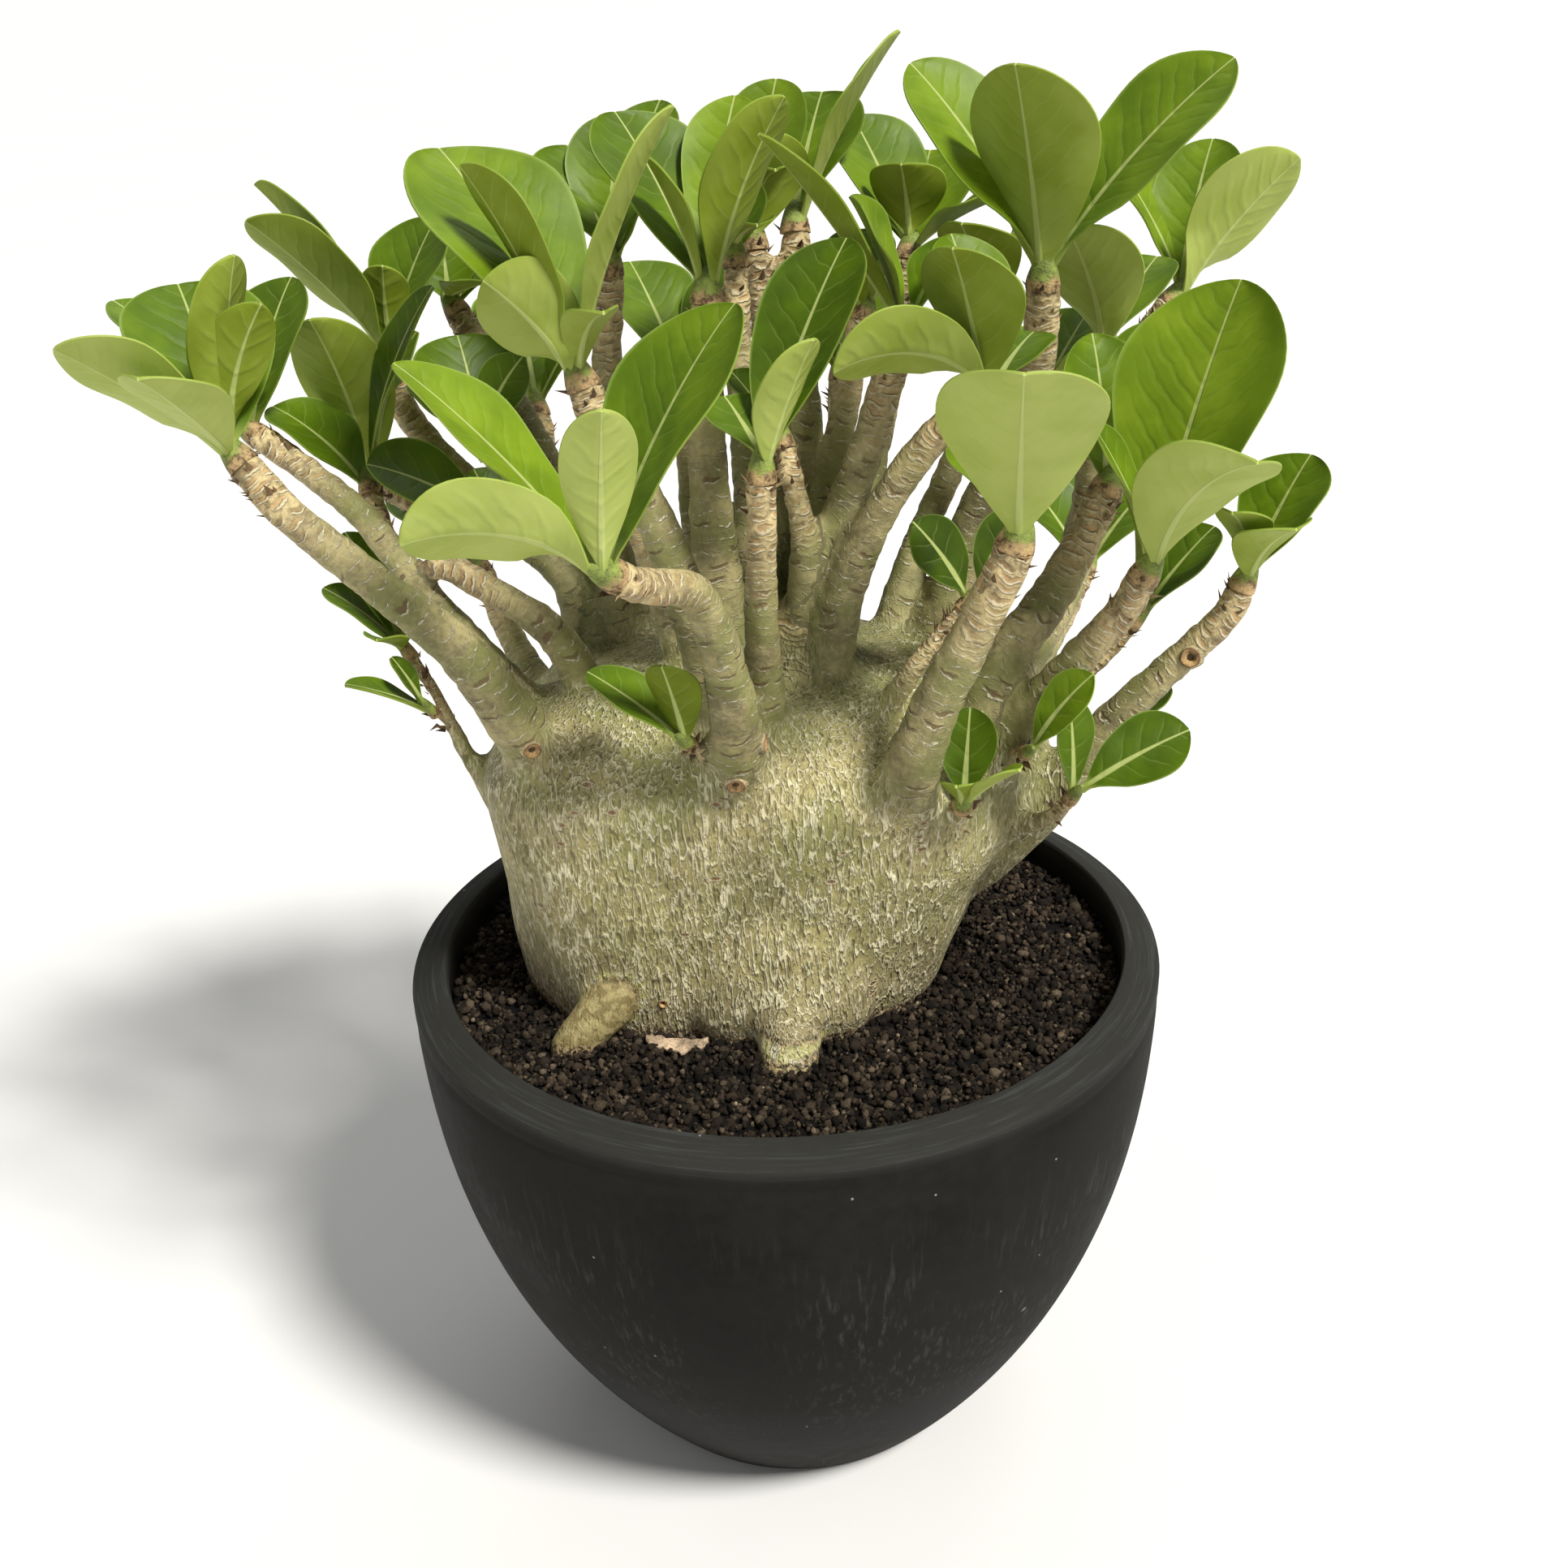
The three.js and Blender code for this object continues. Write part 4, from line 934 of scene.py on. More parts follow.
def nearest_scar(spots):
    """For each point: how it lies to the nearest scar, in shares of its radius, and 1 for a cut scar."""
    scars = [(place, radius, 1, 1) for place, radius in CUT_SCARS]
    scars += [(place, random.uniform(*PLACED_PORE_SIZE), PORE_FLATNESS, 0) for place in PORE_PLACES]
    for _ in range(PORES):
        in_front = random.random() < PORES_IN_FRONT
        angle = random.uniform(math.pi, 2 * math.pi) if in_front else random.uniform(0, math.pi)
        height = random.uniform(*PORE_HEIGHTS)
        x, y, width, depth = stem_at(height)
        place = (x + width * math.cos(angle), y + depth * math.sin(angle), height)
        scars.append((place, random.uniform(*PORE_SIZE), PORE_FLATNESS, 0))
    offset = np.full((len(spots), 3), 9.0)
    cut = np.zeros(len(spots))
    for place, radius, flatness, kind in scars:
        centre = spots[np.linalg.norm(spots - np.array(place), axis=1).argmin()]
        own = (spots - centre) * np.array([1, 1, flatness]) / radius
        nearer = np.linalg.norm(own, axis=1) < np.linalg.norm(offset, axis=1)
        offset[nearer] = own[nearer]
        cut[nearer] = kind
    return offset, cut


def stretched_noise(straight):
    """Noise in narrow bands around a branch: its low ridges."""
    banded = straight * np.array([0.3, 0.3, 1.0])
    return noise_values(banded, RIDGE_SPAN * 0.6, 2.2)


def bark_material():
    material, shader, surface = new_material("bark")
    place = shader.place_mm()
    straight = shader.attribute("straight")
    on_stem, to_tip, crowded_shade = shader.parts(shader.attribute("bark"))
    on_root, crevice, cut = shader.parts(shader.attribute("foot"))
    stem, stem_relief = stem_skin(shader, place, on_root, crevice)
    branch, branch_relief = branch_skin(shader, straight, to_tip)
    colour = shader.mix(on_stem, branch, stem)
    # Where branches crowd, patches of bark turn a dark mossy green: painted shade where the branches shade
    # each other, with some moss
    green_patches = shader.fade(shader.noise(place, 7, 4, 0.6), 0.3, 0.7, 0.3, 0.75)
    colour = shader.mix(crowded_shade * green_patches, colour, (0.105, 0.118, 0.034, 1))
    relief = shader.between(on_stem, branch_relief, stem_relief)
    colour, relief = scarred(shader, colour, relief, cut)
    relief = relief + grained(shader, place, 0.6, 3, 0.65) * 0.4
    normal = shader.bump(relief, 0.8, 0.65)
    join_up(shader, surface, Base_Color=colour, Roughness=0.66, Specular_IOR_Level=0.4, Normal=normal)
    return material


def scarred(shader, colour, relief, cut):
    """A dark heart in cut scars; pores with a pale rim and a brown slit."""
    offset = shader.warped(shader.attribute("scar"), 0.6, 0.2)
    away = shader.value("ShaderNodeVectorMath", {0: offset}, "Value", operation="LENGTH")
    inside = shader.fade(away, 1.1, 0.9)
    face = shader.ramp(away, [(0.0, (0.02, 0.01, 0.006)), (0.6, (0.12, 0.06, 0.026)),
                              (1.0, (0.2, 0.14, 0.07))])
    slit = shader.ramp(away, [(0.0, (0.16, 0.075, 0.03)), (0.4, (0.34, 0.19, 0.085)),
                              (0.68, (0.66, 0.56, 0.36)), (1.0, (0.50, 0.45, 0.28))])
    look = shader.mix(cut, slit, face)
    colour = shader.mix(inside * shader.between(cut, 0.85, 0.9), colour, look)
    return colour, relief + inside * shader.fade(away, 0.3, 0.8, -0.8, 0.9)


def stem_skin(shader, place, on_root, crevice):
    """Grey-green skin with pale wrinkles that run down it, greener above and browner near the soil."""
    x, _, height = shader.parts(place)
    skin, _ = mottled(shader, place, (0.385, 0.33, 0.145, 1), 26, 2.0, 0.8)
    green_patches = shader.fade(height, 195, 262, 0.35, 1.0) * shader.fade(shader.noise(place, 24, 3), 0.38, 0.6)
    skin = shader.mix(green_patches * 0.7, skin, (0.225, 0.245, 0.065, 1))
    earth = shader.fade(height, 202, 164, 0.0, 0.65)
    skin = shader.mix(earth, skin, (0.27, 0.21, 0.125, 1))

    # Wrinkles lie where a noise drawn out down the stem crosses its middle value. Towards the right the
    # wide ones are stronger and the fine ones fainter. Their pale colour is partly the skin's own and partly
    # a painted highlight on their crests, and the darkened grooves beside them are painted shade.
    down = shader.warped(shader.stretch(place, (1, 1, 0.2)), 3.0, 0.5)
    region = shader.fade(x + shader.noise(place, 25) * 80.0, 50, 90)
    wide = shader.fade(abs(shader.noise(down, 2.7, 1.6, 0.45) - 0.5), 0.06, 0.012)
    fine = shader.noise(shader.stretch(down, (1, 1, 1.2)), 1.3, 1.6, 0.45)
    shaded_groove = shader.fade(fine, 0.42, 0.28)
    fine = shader.fade(abs(fine - 0.49), 0.08, 0.015)
    half_drawn = shader.stretch(place, (1, 1, 0.5))
    broken = shader.fade(shader.noise(half_drawn, 3.6, 3, 0.6), 0.38, 0.5)
    broken_fine = shader.fade(shader.noise(shader.stretch(place, (1, 1, 0.6)), 2.4), 0.38, 0.52)
    wide = wide * (broken * shader.fade(region, 0.0, 1.0, 0.8, 1.0))
    fine = fine * (broken_fine * shader.fade(region, 0.0, 1.0, 0.9, 0.5))
    wrinkles = shader.math("MAXIMUM", wide, fine * 0.6)
    dark_grain = shader.fade(shader.noise(half_drawn, 0.7, 3, 0.6), 0.36, 0.52, 0.5, 0.0)
    skin = shader.mix(dark_grain, skin, (0.15, 0.125, 0.05, 1))
    # Darkened grooves beside the wrinkles: painted shade
    skin = shader.mix(shaded_groove * 0.55, skin, (0.12, 0.10, 0.04, 1))
    bright = shader.fade(shader.noise(place, 18, 3), 0.35, 0.65, 0.6, 1.0)
    # Pale wrinkle lines: partly the skin's own colour, partly a painted highlight on their crests
    skin = shader.mix(wrinkles * bright, skin, (0.88, 0.81, 0.55, 1))

    # The front root is pale, the finger root brown and smooth
    patches = shader.noise(place, 3.0, 3, 0.6)
    finger = shader.math("SUBTRACT", on_root, 1.0, clamp=True)
    pale = shader.mix(shader.fade(patches, 0.5, 0.58), (0.56, 0.55, 0.21, 1), (0.80, 0.76, 0.56, 1))
    brown = shader.mix(shader.fade(patches, 0.4, 0.6), (0.235, 0.18, 0.07, 1), (0.41, 0.34, 0.15, 1))
    root = shader.mix(finger, pale, brown)
    skin = shader.mix(shader.math("MULTIPLY", on_root, 0.7, clamp=True), skin, root)
    crust = shader.fade(shader.noise(place, 1.2, 3), 0.46, 0.55)
    crust = shader.mix(crust, (0.03, 0.018, 0.01, 1), (0.44, 0.31, 0.17, 1))
    at_soil = shader.fade(height + shader.noise(place, 6, 3) * 5.0, 172.4, 170.6) * 0.8
    skin = shader.mix(shader.math("MAXIMUM", crevice * 0.9, at_soil), skin, crust)
    relief = wide * 1.5 + fine * 0.9 - shaded_groove * 0.9
    return skin, relief * shader.fade(finger, 0.0, 1.0, 1.0, 0.25) - crevice * 1.6


def leaf_scars(shader, turn, along, spacing, count, thickness):
    """Crescent scars in staggered rows round a branch: the pale rim, the brown face and a random share."""
    row_place = along / spacing
    row = shader.math("FLOOR", row_place)
    shift = shader.value("ShaderNodeTexWhiteNoise", {1: row}, noise_dimensions="1D")
    around = turn * count + shift
    cell = shader.math("FLOORED_MODULO", shader.math("FLOOR", around), count)
    aside = shader.math("FRACT", around) - 0.5
    luck = shader.luck(shader.value("ShaderNodeCombineXYZ", {0: row, 1: cell, 2: count}))
    arc = shader.math("FRACT", row_place) - (luck * 0.3 + 0.2 + aside * (aside * 0.8))
    taper = shader.fade(abs(aside), 0.47, 0.2)
    rim = shader.fade(abs(arc), thickness, thickness * 0.25) * taper
    face = shader.fade(abs(arc - thickness * 1.7), thickness * 1.5, thickness * 0.4) * taper
    return rim, face, luck


def branch_skin(shader, straight, to_tip):
    """Olive-grey bark with broken pale scars, tan with crowded crescent scars near the tip."""
    x, y, z = shader.parts(straight)
    x = shader.math("FLOORED_MODULO", x + BRANCH_SPAN / 2, float(BRANCH_SPAN)) - BRANCH_SPAN / 2
    turn = shader.math("ARCTAN2", y, x) / (2 * math.pi)
    along = z + (shader.noise(straight, 7, 3) - 0.5) * 6.0
    sparse, sparse_face, luck = leaf_scars(shader, turn, along, 4.0, 5.0, 0.11)
    dense, dense_face, dense_luck = leaf_scars(shader, turn, along, 2.9, 4.0, 0.19)
    crumbled = shader.fade(shader.noise(straight, 1.3, 3, 0.65), 0.4, 0.54)
    sparse = sparse * crumbled * shader.fade(luck, 0.1, 0.3)
    spot = sparse_face * shader.fade(luck, 0.72, 0.8)
    across = shader.warped(shader.stretch(straight, (0.4, 0.4, 1)), 2.0, 0.5)
    flecks = shader.fade(shader.cells(across, 1.6, "DISTANCE_TO_EDGE"), 0.13, 0.0)
    flecks = flecks * shader.fade(shader.noise(across, 1.5), 0.52, 0.62)

    old, _ = mottled(shader, straight, (0.31, 0.265, 0.125, 1), 14, 1.6, 0.95)
    green = shader.fade(shader.noise(straight, 13, 3), 0.4, 0.62, 0.0, 0.65)
    old = shader.mix(green, old, (0.19, 0.205, 0.055, 1))
    old = shader.mix(flecks * 0.35, old, (0.46, 0.43, 0.27, 1))
    old = shader.mix(spot * 0.75, old, (0.13, 0.075, 0.032, 1))
    old = shader.mix(sparse * 0.9, old, (0.68, 0.64, 0.46, 1))

    tan, cloud = mottled(shader, straight, (0.49, 0.385, 0.20, 1), 6, 1.2, 1.1)
    orange = shader.mix(shader.fade(dense_luck, 0.2, 0.8), (0.22, 0.125, 0.05, 1), (0.52, 0.31, 0.13, 1))
    tan = shader.mix(dense_face * 0.65, tan, orange)
    tan = shader.mix(dense * 0.8, tan, (0.76, 0.65, 0.44, 1))
    young = shader.fade(to_tip + shader.noise(straight, 6, 3) * 26.0, 52, 22)
    skin = shader.mix(young, old, tan)
    collar = shader.fade(to_tip + cloud * 3.0, 4.5, 1.5)
    skin = shader.mix(collar * 0.35, skin, (0.16, 0.09, 0.035, 1))
    old_relief = sparse + flecks * 0.4 - spot * 0.6
    return skin, shader.between(young, old_relief, dense * 1.5 - dense_face * 0.8)


def stub_rings(place, radius, spot, normal):
    across, over = turning_frames(np.array([normal]))
    rings = []
    for reach, height, _ in STUB_PROFILE:
        ring = []
        for angle in np.linspace(0, 2 * math.pi, STUB_SIDES, endpoint=False):
            x, y = math.cos(angle), math.sin(angle)
            out = across[0] * x + over[0] * y
            uneven = 1 + 0.16 * noise.noise((x * 1.5 + place[0], y * 1.5, reach))
            ragged = 0.35 * noise.noise((x * 3, y * 3 + place[1], reach))
            rise = np.array(normal) * STUB_RISE * (height + ragged)
            ring.append(np.array(spot) + out * radius * reach * uneven + rise)
        rings.append(ring)
    return rings


def raise_stubs(bark):
    """Low broken stubs with a hollow middle at the cut scars."""
    surface = BVHTree.FromPolygons([v.co / MM for v in bark.data.vertices],
                                   [tuple(face.vertices) for face in bark.data.polygons])
    parts = []
    for place, radius in CUT_SCARS:
        spot, normal, *_ = surface.find_nearest(Vector(place))
        parts.append(loft(stub_rings(place, radius, spot, normal), close=True))
    piece = make_piece("cut_stubs", *joined(parts), "bark", stub_material(), 50)
    shades = np.repeat([shade for _, _, shade in STUB_PROFILE], STUB_SIDES)
    point_values(piece.data, "shade", np.tile(shades, len(CUT_SCARS)))


def stub_material():
    material, shader, surface = new_material("cut_stub")
    own = shader.ramp(shader.attribute("shade", "Fac"), [
        (0.0, (0.25, 0.225, 0.10)), (0.12, (0.46, 0.37, 0.21)), (0.3, (0.15, 0.075, 0.028)),
        (0.6, (0.44, 0.28, 0.12)), (0.78, (0.36, 0.22, 0.09)), (1.0, (0.010, 0.006, 0.004))])
    crumbly(shader, surface, own, (3, 0.6, 1.1), (0.5,), (0.9, 0.4), Roughness=0.75)
    return material


# Leaves

LEAF_ROWS = 24
LEAF_COLUMNS = 11
ROW_CROWDING = 1.6
BLADE_CROWN = 0.03
RIB_SPREAD = 1.4
# Where a leaf's last row of corners lies in the solids, for small leaves and for large ones
LAST_CORNERS = (0.84, 0.88)
BUD_SIDES = 14
# A bud's rings from its foot up: height in mm and share of the branch end's radius
BUD_PROFILE = [(-1.2, 0.94), (0, 0.92), (1.5, 0.86), (3.5, 0.74), (5.5, 0.6), (7.2, 0.42), (8.3, 0.18)]


def leaf_turned(shape, turn):
    heading, rise, length, width, *rest = shape
    aside, lift, share = turn
    return (heading + aside, rise + lift, length * share, width * share, *rest)


def leaf_face(foot, shape, t, s):
    """Points of a leaf's upper side and the way that it looks, at shares t along and s across."""
    heading, rise, length, width, bend, turn = (*shape, 0)[:6]
    yaw = math.radians(heading)
    arc = max(math.radians(bend), SMALLEST_BEND)
    start = math.radians(rise) + arc
    slope = start - 2 * arc * t
    reach = length / (2 * math.sin(arc))
    out = reach * (math.sin(start) - np.sin(slope))
    lift = reach * (np.cos(slope) - math.cos(start))
    level = np.array([math.cos(yaw), math.sin(yaw), 0])
    left = np.array([-math.sin(yaw), math.cos(yaw), 0])
    along = np.cos(slope)[..., None] * level + np.sin(slope)[..., None] * np.array([0, 0, 1])
    up = np.cross(along, left)
    twist = (math.radians(turn) * np.minimum(1, t / TURN_END))[..., None]
    aside = left * np.cos(twist) + np.cross(along, left) * np.sin(twist)
    up = up * np.cos(twist) + np.cross(along, up) * np.sin(twist)
    outline = OUTLINE_FULLNESS * t ** OUTLINE_SLOPE * (1 - t ** OUTLINE_WIDEST) ** OUTLINE_END
    half = np.maximum(STALK_HALF_WIDTH * (1 - STALK_TAPER * t), width / 2 * outline)
    middle = foot + out[..., None] * level + lift[..., None] * np.array([0, 0, 1])
    spots = middle + aside * (half * s)[..., None] + up * (half * FOLD * s * s)[..., None]
    return spots, up, half


def stalk_foot(branch, heading, index):
    count = len(branch.leaves)
    height = GAP + BUD_HEIGHT * (STALK_LOWEST + STALK_SPREAD * (index / (count - 1) if count > 1 else 0))
    outward = np.array([math.cos(math.radians(heading)), math.sin(math.radians(heading)), 0])
    outward = outward - branch.way * outward.dot(branch.way)
    return branch.end + branch.way * height + outward * STALK_INSET * branch.end_radius


def leaf_as_grown(branch, shape, index, corners):
    """The leaf's foot, and its shape as turned in the solid part, found by the solid's own corners."""
    foot = stalk_foot(branch, shape[0], index)
    misses = []
    for turn in LEAF_TURNS:
        turned = leaf_turned(shape, turn)
        last = LAST_CORNERS[0] if shape[2] < SMALL_LEAF else LAST_CORNERS[1]
        tips, *_ = leaf_face(foot, turned, np.array([last, 1.0, 1.0]), np.zeros(3))
        gaps = np.linalg.norm(corners[None] - tips[:, None], axis=2).min(1)
        misses.append((gaps.sum(), turned))
    return foot, min(misses, key=lambda miss: miss[0])[1]


def leaf_mesh(foot, shape, seed):
    """A thin closed blade: points, faces, and for each point its place on the blade."""
    share = 1 - (1 - np.linspace(0, 1, LEAF_ROWS)) ** ROW_CROWDING
    across = np.linspace(1, -1, LEAF_COLUMNS)
    t, s = np.meshgrid(share, across, indexing="ij")
    spots, up, half = leaf_face(foot, shape, t, s)
    wave = np.sin(t * (9 + 3 * seed) + seed * 40 + np.where(s > 0, 0, 2.1)) * s * s * EDGE_WAVE * half
    crown = -BLADE_CROWN * half * (1 - s * s) * np.sin(math.pi * t)
    spots = spots + up * (wave + crown)[..., None]
    rib = RIB_THICKNESS - RIB_THINNING * t
    thick = EDGE_THICKNESS + (rib - EDGE_THICKNESS) * np.exp(-np.abs(s) * half / RIB_SPREAD)
    under = spots - up * thick[..., None]
    points, faces = loft(list(np.concatenate([spots, under[:, ::-1]], axis=1)), close=True)

    def both_sides(values):
        return np.concatenate([values, values[:, ::-1]], axis=1).ravel()

    side = np.concatenate([np.ones_like(t), np.zeros_like(t)], axis=1).ravel()
    x = both_sides(half * s)
    blade = np.stack([x, both_sides(shape[2] * t), np.full(len(x), seed * 100)], axis=1)
    return points, faces, blade, np.stack([both_sides(s), both_sides(t), side], axis=1)


def bud_mesh(branch):
    across, over = turning_frames(np.array([branch.way]))
    angles = np.linspace(0, 2 * math.pi, BUD_SIDES, endpoint=False)
    around = np.outer(np.cos(angles), across[0]) + np.outer(np.sin(angles), over[0])
    rings = []
    for height, share in BUD_PROFILE:
        rings.append(branch.end + branch.way * height + branch.end_radius * share * around)
    return loft(rings, close=True)


def grow_rosette(branch, leaf_look, bud_look):
    """The leaves and the bud of one branch as one piece, each point with its place on leaf or bud."""
    corners = mesh_points(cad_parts["leaves_" + branch.name].data)
    parts = []
    blades = []
    wheres = []
    tones = []
    given = LEAF_TONES.get(branch.name, LEAF_TONE)
    for index, shape in enumerate(branch.leaves):
        foot, grown = leaf_as_grown(branch, shape, index, corners)
        points, faces, blade, where = leaf_mesh(foot, grown, random.random())
        parts.append((points, faces))
        blades.append(blade)
        wheres.append(where)
        own = given[index] if isinstance(given, tuple) else given + random.uniform(-0.1, 0.1)
        tones.append(np.full(len(points), own))
    leaf_faces = sum(len(faces) for _, faces in parts)
    points, faces = bud_mesh(branch)
    parts.append((points, faces))
    blades.append(np.zeros((len(points), 3)))
    heights = [np.dot(np.array(p) - branch.end, branch.way) / BUD_HEIGHT for p in points]
    wheres.append(np.stack([np.zeros(len(points)), heights, np.zeros(len(points))], axis=1))
    tones.append(np.full(len(points), random.random()))
    piece = make_piece("rosette_" + branch.name, *joined(parts), "leaf", leaf_look, 60)
    mesh = piece.data
    mesh.materials.append(bud_look)
    slots = np.zeros(len(mesh.polygons), np.int32)
    slots[leaf_faces:] = 1
    mesh.polygons.foreach_set("material_index", slots)
    point_values(mesh, "blade", np.concatenate(blades))
    point_values(mesh, "where", np.concatenate(wheres))
    point_values(mesh, "tone", np.concatenate(tones))
    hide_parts("leaves_" + branch.name)


def grow_rosettes():
    looks = leaf_material(), bud_material()
    for branch in branches:
        if branch.leaves:
            grow_rosette(branch, *looks)


def leaf_material():
    material, shader, surface = new_material("leaf")
    blade = shader.attribute("blade")
    across, along, _ = shader.parts(blade)
    side_share, reach, side = shader.parts(shader.attribute("where"))
    off = abs(across)
    edge = abs(side_share)

    # The rib narrows towards the leaf's end; side veins leave it and bend forward
    rib = shader.fade(off / shader.fade(reach, 0.0, 1.0, 1.25, 0.35), 1.0, 0.55)
    veins = along + shader.noise(blade, 9) * 6.0 - (off * 0.62 + off * off * 0.018)
    veins = abs(shader.math("FRACT", veins / 6.2) - 0.5)
    fading = shader.fade(edge, 0.95, 0.55)
    vein = shader.fade(veins, 0.06, 0.0) * fading
    quilt = shader.fade(veins, 0.3, 0.0) * fading

    cloud = shader.fade(shader.noise(blade, 14, 3), 0.3, 0.7, -0.11, 0.11)
    bright = shader.math("ADD", shader.attribute("tone", "Fac"), cloud, clamp=True)
    top = shader.ramp(bright, [(0.0, (0.022, 0.044, 0.002)), (0.45, (0.09, 0.158, 0.004)),
                               (0.75, (0.18, 0.275, 0.010)), (1.0, (0.28, 0.385, 0.025))])
    top = shader.mix(vein * 0.22, top, (0.30, 0.38, 0.10, 1))
    top = shader.mix(rib * 0.8, top, (0.46, 0.52, 0.18, 1))
    top = shader.mix(shader.fade(edge, 0.94, 0.995, 0.0, 0.5), top, (0.28, 0.38, 0.09, 1))
    under = shader.ramp(bright, [(0.0, (0.125, 0.17, 0.008)), (0.35, (0.20, 0.262, 0.015)),
                                 (0.6, (0.28, 0.35, 0.045)), (1.0, (0.41, 0.475, 0.12))])
    under = shader.mix(vein * 0.2, under, (0.42, 0.49, 0.18, 1))
    under = shader.mix(rib * 0.75, under, (0.50, 0.57, 0.20, 1))
    colour = shader.mix(side, under, top)
    stalk = shader.fade(reach, 0.15, 0.03, 0.0, 0.8)
    colour = shader.mix(stalk, colour, (0.34, 0.41, 0.085, 1))

    relief = (quilt * 0.5 + rib * 0.9) * shader.between(side, 1.0, -1.0)
    relief = relief + grained(shader, blade, 0.8, 2) * 0.12
    join_up(shader, surface, Base_Color=colour, Roughness=shader.between(side, 0.62, 0.46),
            Specular_IOR_Level=0.2, Normal=shader.bump(relief, 0.5, 0.5), Subsurface_Weight=0.16,
            Subsurface_Radius=(0.6, 0.8, 0.08), Subsurface_Scale=0.002)
    return material


def bud_material():
    material, shader, surface = new_material("bud")
    place = shader.place_mm()
    height = shader.parts(shader.attribute("where"))[1]
    green, cloud = mottled(shader, place, (0.20, 0.255, 0.045, 1), 4, 0.9, 0.8)
    tan, patches = mottled(shader, place, (0.36, 0.24, 0.11, 1), 3, 0.9, 1.3)
    tan = shader.mix(shader.fade(patches, 0.4, 0.15), tan, (0.13, 0.07, 0.028, 1))
    colour = shader.mix(shader.fade(height + cloud * 0.3, 0.6, 0.25), green, tan)
    normal = shader.bump(grained(shader, shader.stretch(place, (1, 1, 1.6)), 0.9, 3, 0.6), 0.8, 0.6)
    join_up(shader, surface, Base_Color=colour, Roughness=0.62, Normal=normal)
    return material


def grow_bud_scales():
    """Short brown scales left by fallen leaves, round every leafy tip."""
    parts = []
    shades = []
    for branch in branches:
        if not branch.leaves:
            continue
        line, ways, places = stepped(branch.points, 0.5)
        across, over = turning_frames(ways)
        for _ in range(SCALES_PER_TIP):
            back = SCALE_REACH * random.random() ** 1.3
            at = int(np.argmin(np.abs(places[-1] - back - places)))
            angle = random.uniform(0, 2 * math.pi)
            out = across[at] * math.cos(angle) + over[at] * math.sin(angle)
            aside = np.cross(ways[at], out)
            radius = branch.radius(places[at] / places[-1])
            length = random.uniform(*SCALE_LENGTH)
            foot = line[at] + out * (radius - 0.5)
            lean = ways[at] * random.uniform(0.35, 1.1) + out * random.uniform(0.5, 1.0)
            tip = foot + lean / np.linalg.norm(lean) * (length + 0.5) + aside * random.uniform(-0.4, 0.4)
            wide, deep = length * 0.36, length * 0.2
            ring = [foot + aside * wide, foot + ways[at] * deep, foot - aside * wide, foot - ways[at] * deep]
            points = [tuple(p) for p in (*ring, tip)]
            parts.append((points, [(0, 1, 4), (1, 2, 4), (2, 3, 4), (3, 0, 4), (3, 2, 1, 0)]))
            shades.extend([random.random()] * 5)
    piece = make_piece("bud_scales", *joined(parts), "bark", bud_scale_material(), 30)
    point_values(piece.data, "shade", shades)


def bud_scale_material():
    material, shader, surface = new_material("bud_scale")
    own = shader.ramp(shader.attribute("shade", "Fac"), [
        (0.0, (0.055, 0.028, 0.012)), (0.6, (0.15, 0.085, 0.035)), (1.0, (0.34, 0.25, 0.12))])
    crumbly(shader, surface, own, (5, 0.8, 0.6), (0.5,), (0.6, 0.3), Roughness=0.75)
    return material


# Soil

def soil_height(radius, angle):
    mound = SOIL_MOUND * (1 - radius / POT_RADIUS)
    first = np.sin(SOIL_WAVES[0] * angle + radius / SOIL_WAVE_SPANS[0])
    second = np.cos(SOIL_WAVES[1] * angle + radius / SOIL_WAVE_SPANS[1])
    return SOIL_HEIGHT + mound + SOIL_RELIEF * first * second


def bowl_radius(height):
    return FOOT_RADIUS + (POT_RADIUS - FOOT_RADIUS) * (1 - (1 - height / POT_HEIGHT) ** BOWL_CURVE)


def inner_radius(height):
    return min(bowl_radius(height) - WALL, POT_RADIUS - RIM_WIDTH)


def lay_soil():
    rings = []
    for height in (FLOOR + GAP, FLOOR + 9, 30, 55, 90, 125, 155, 160):
        rings.append(level_ring(inner_radius(height) - 1, height, BED_SIDES))
    for share in (1, 0.96, 0.9, 0.82, 0.74, 0.66, 0.58, 0.5, 0.42):
        reach = (POT_RADIUS - RIM_WIDTH - BED_INSET) * share
        angles = np.linspace(0, 2 * math.pi, BED_SIDES, endpoint=False)
        rings.append([(reach * math.cos(a), reach * math.sin(a), soil_height(reach, a) - BED_INSET)
                      for a in angles])
    bed = make_piece("soil_bed", *loft(rings, close=True), "soil", soil_material())
    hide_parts("soil")
    scatter_grains(bed.data.materials[0])
    scatter_crumbs(bed.data.materials[0])
    lay_scrap(scrap_material())


BED_SIDES = 96
BED_INSET = 0.6
GRAIN_MARGIN = 1.6
GRAIN_LIFT = (-0.5, 0.9)
GRAIN_OVERLAP = 1.2
GRAIN_SHADE = 0.97
FINE_STREW = 3
CRUMB_SHADES = (0.96, 1)
CRUMB_SIZE = (0.5, 1.2)
STONE_DENTS = (0.62, 1.2)
STONE_STRETCH = (0.65, 1.3)

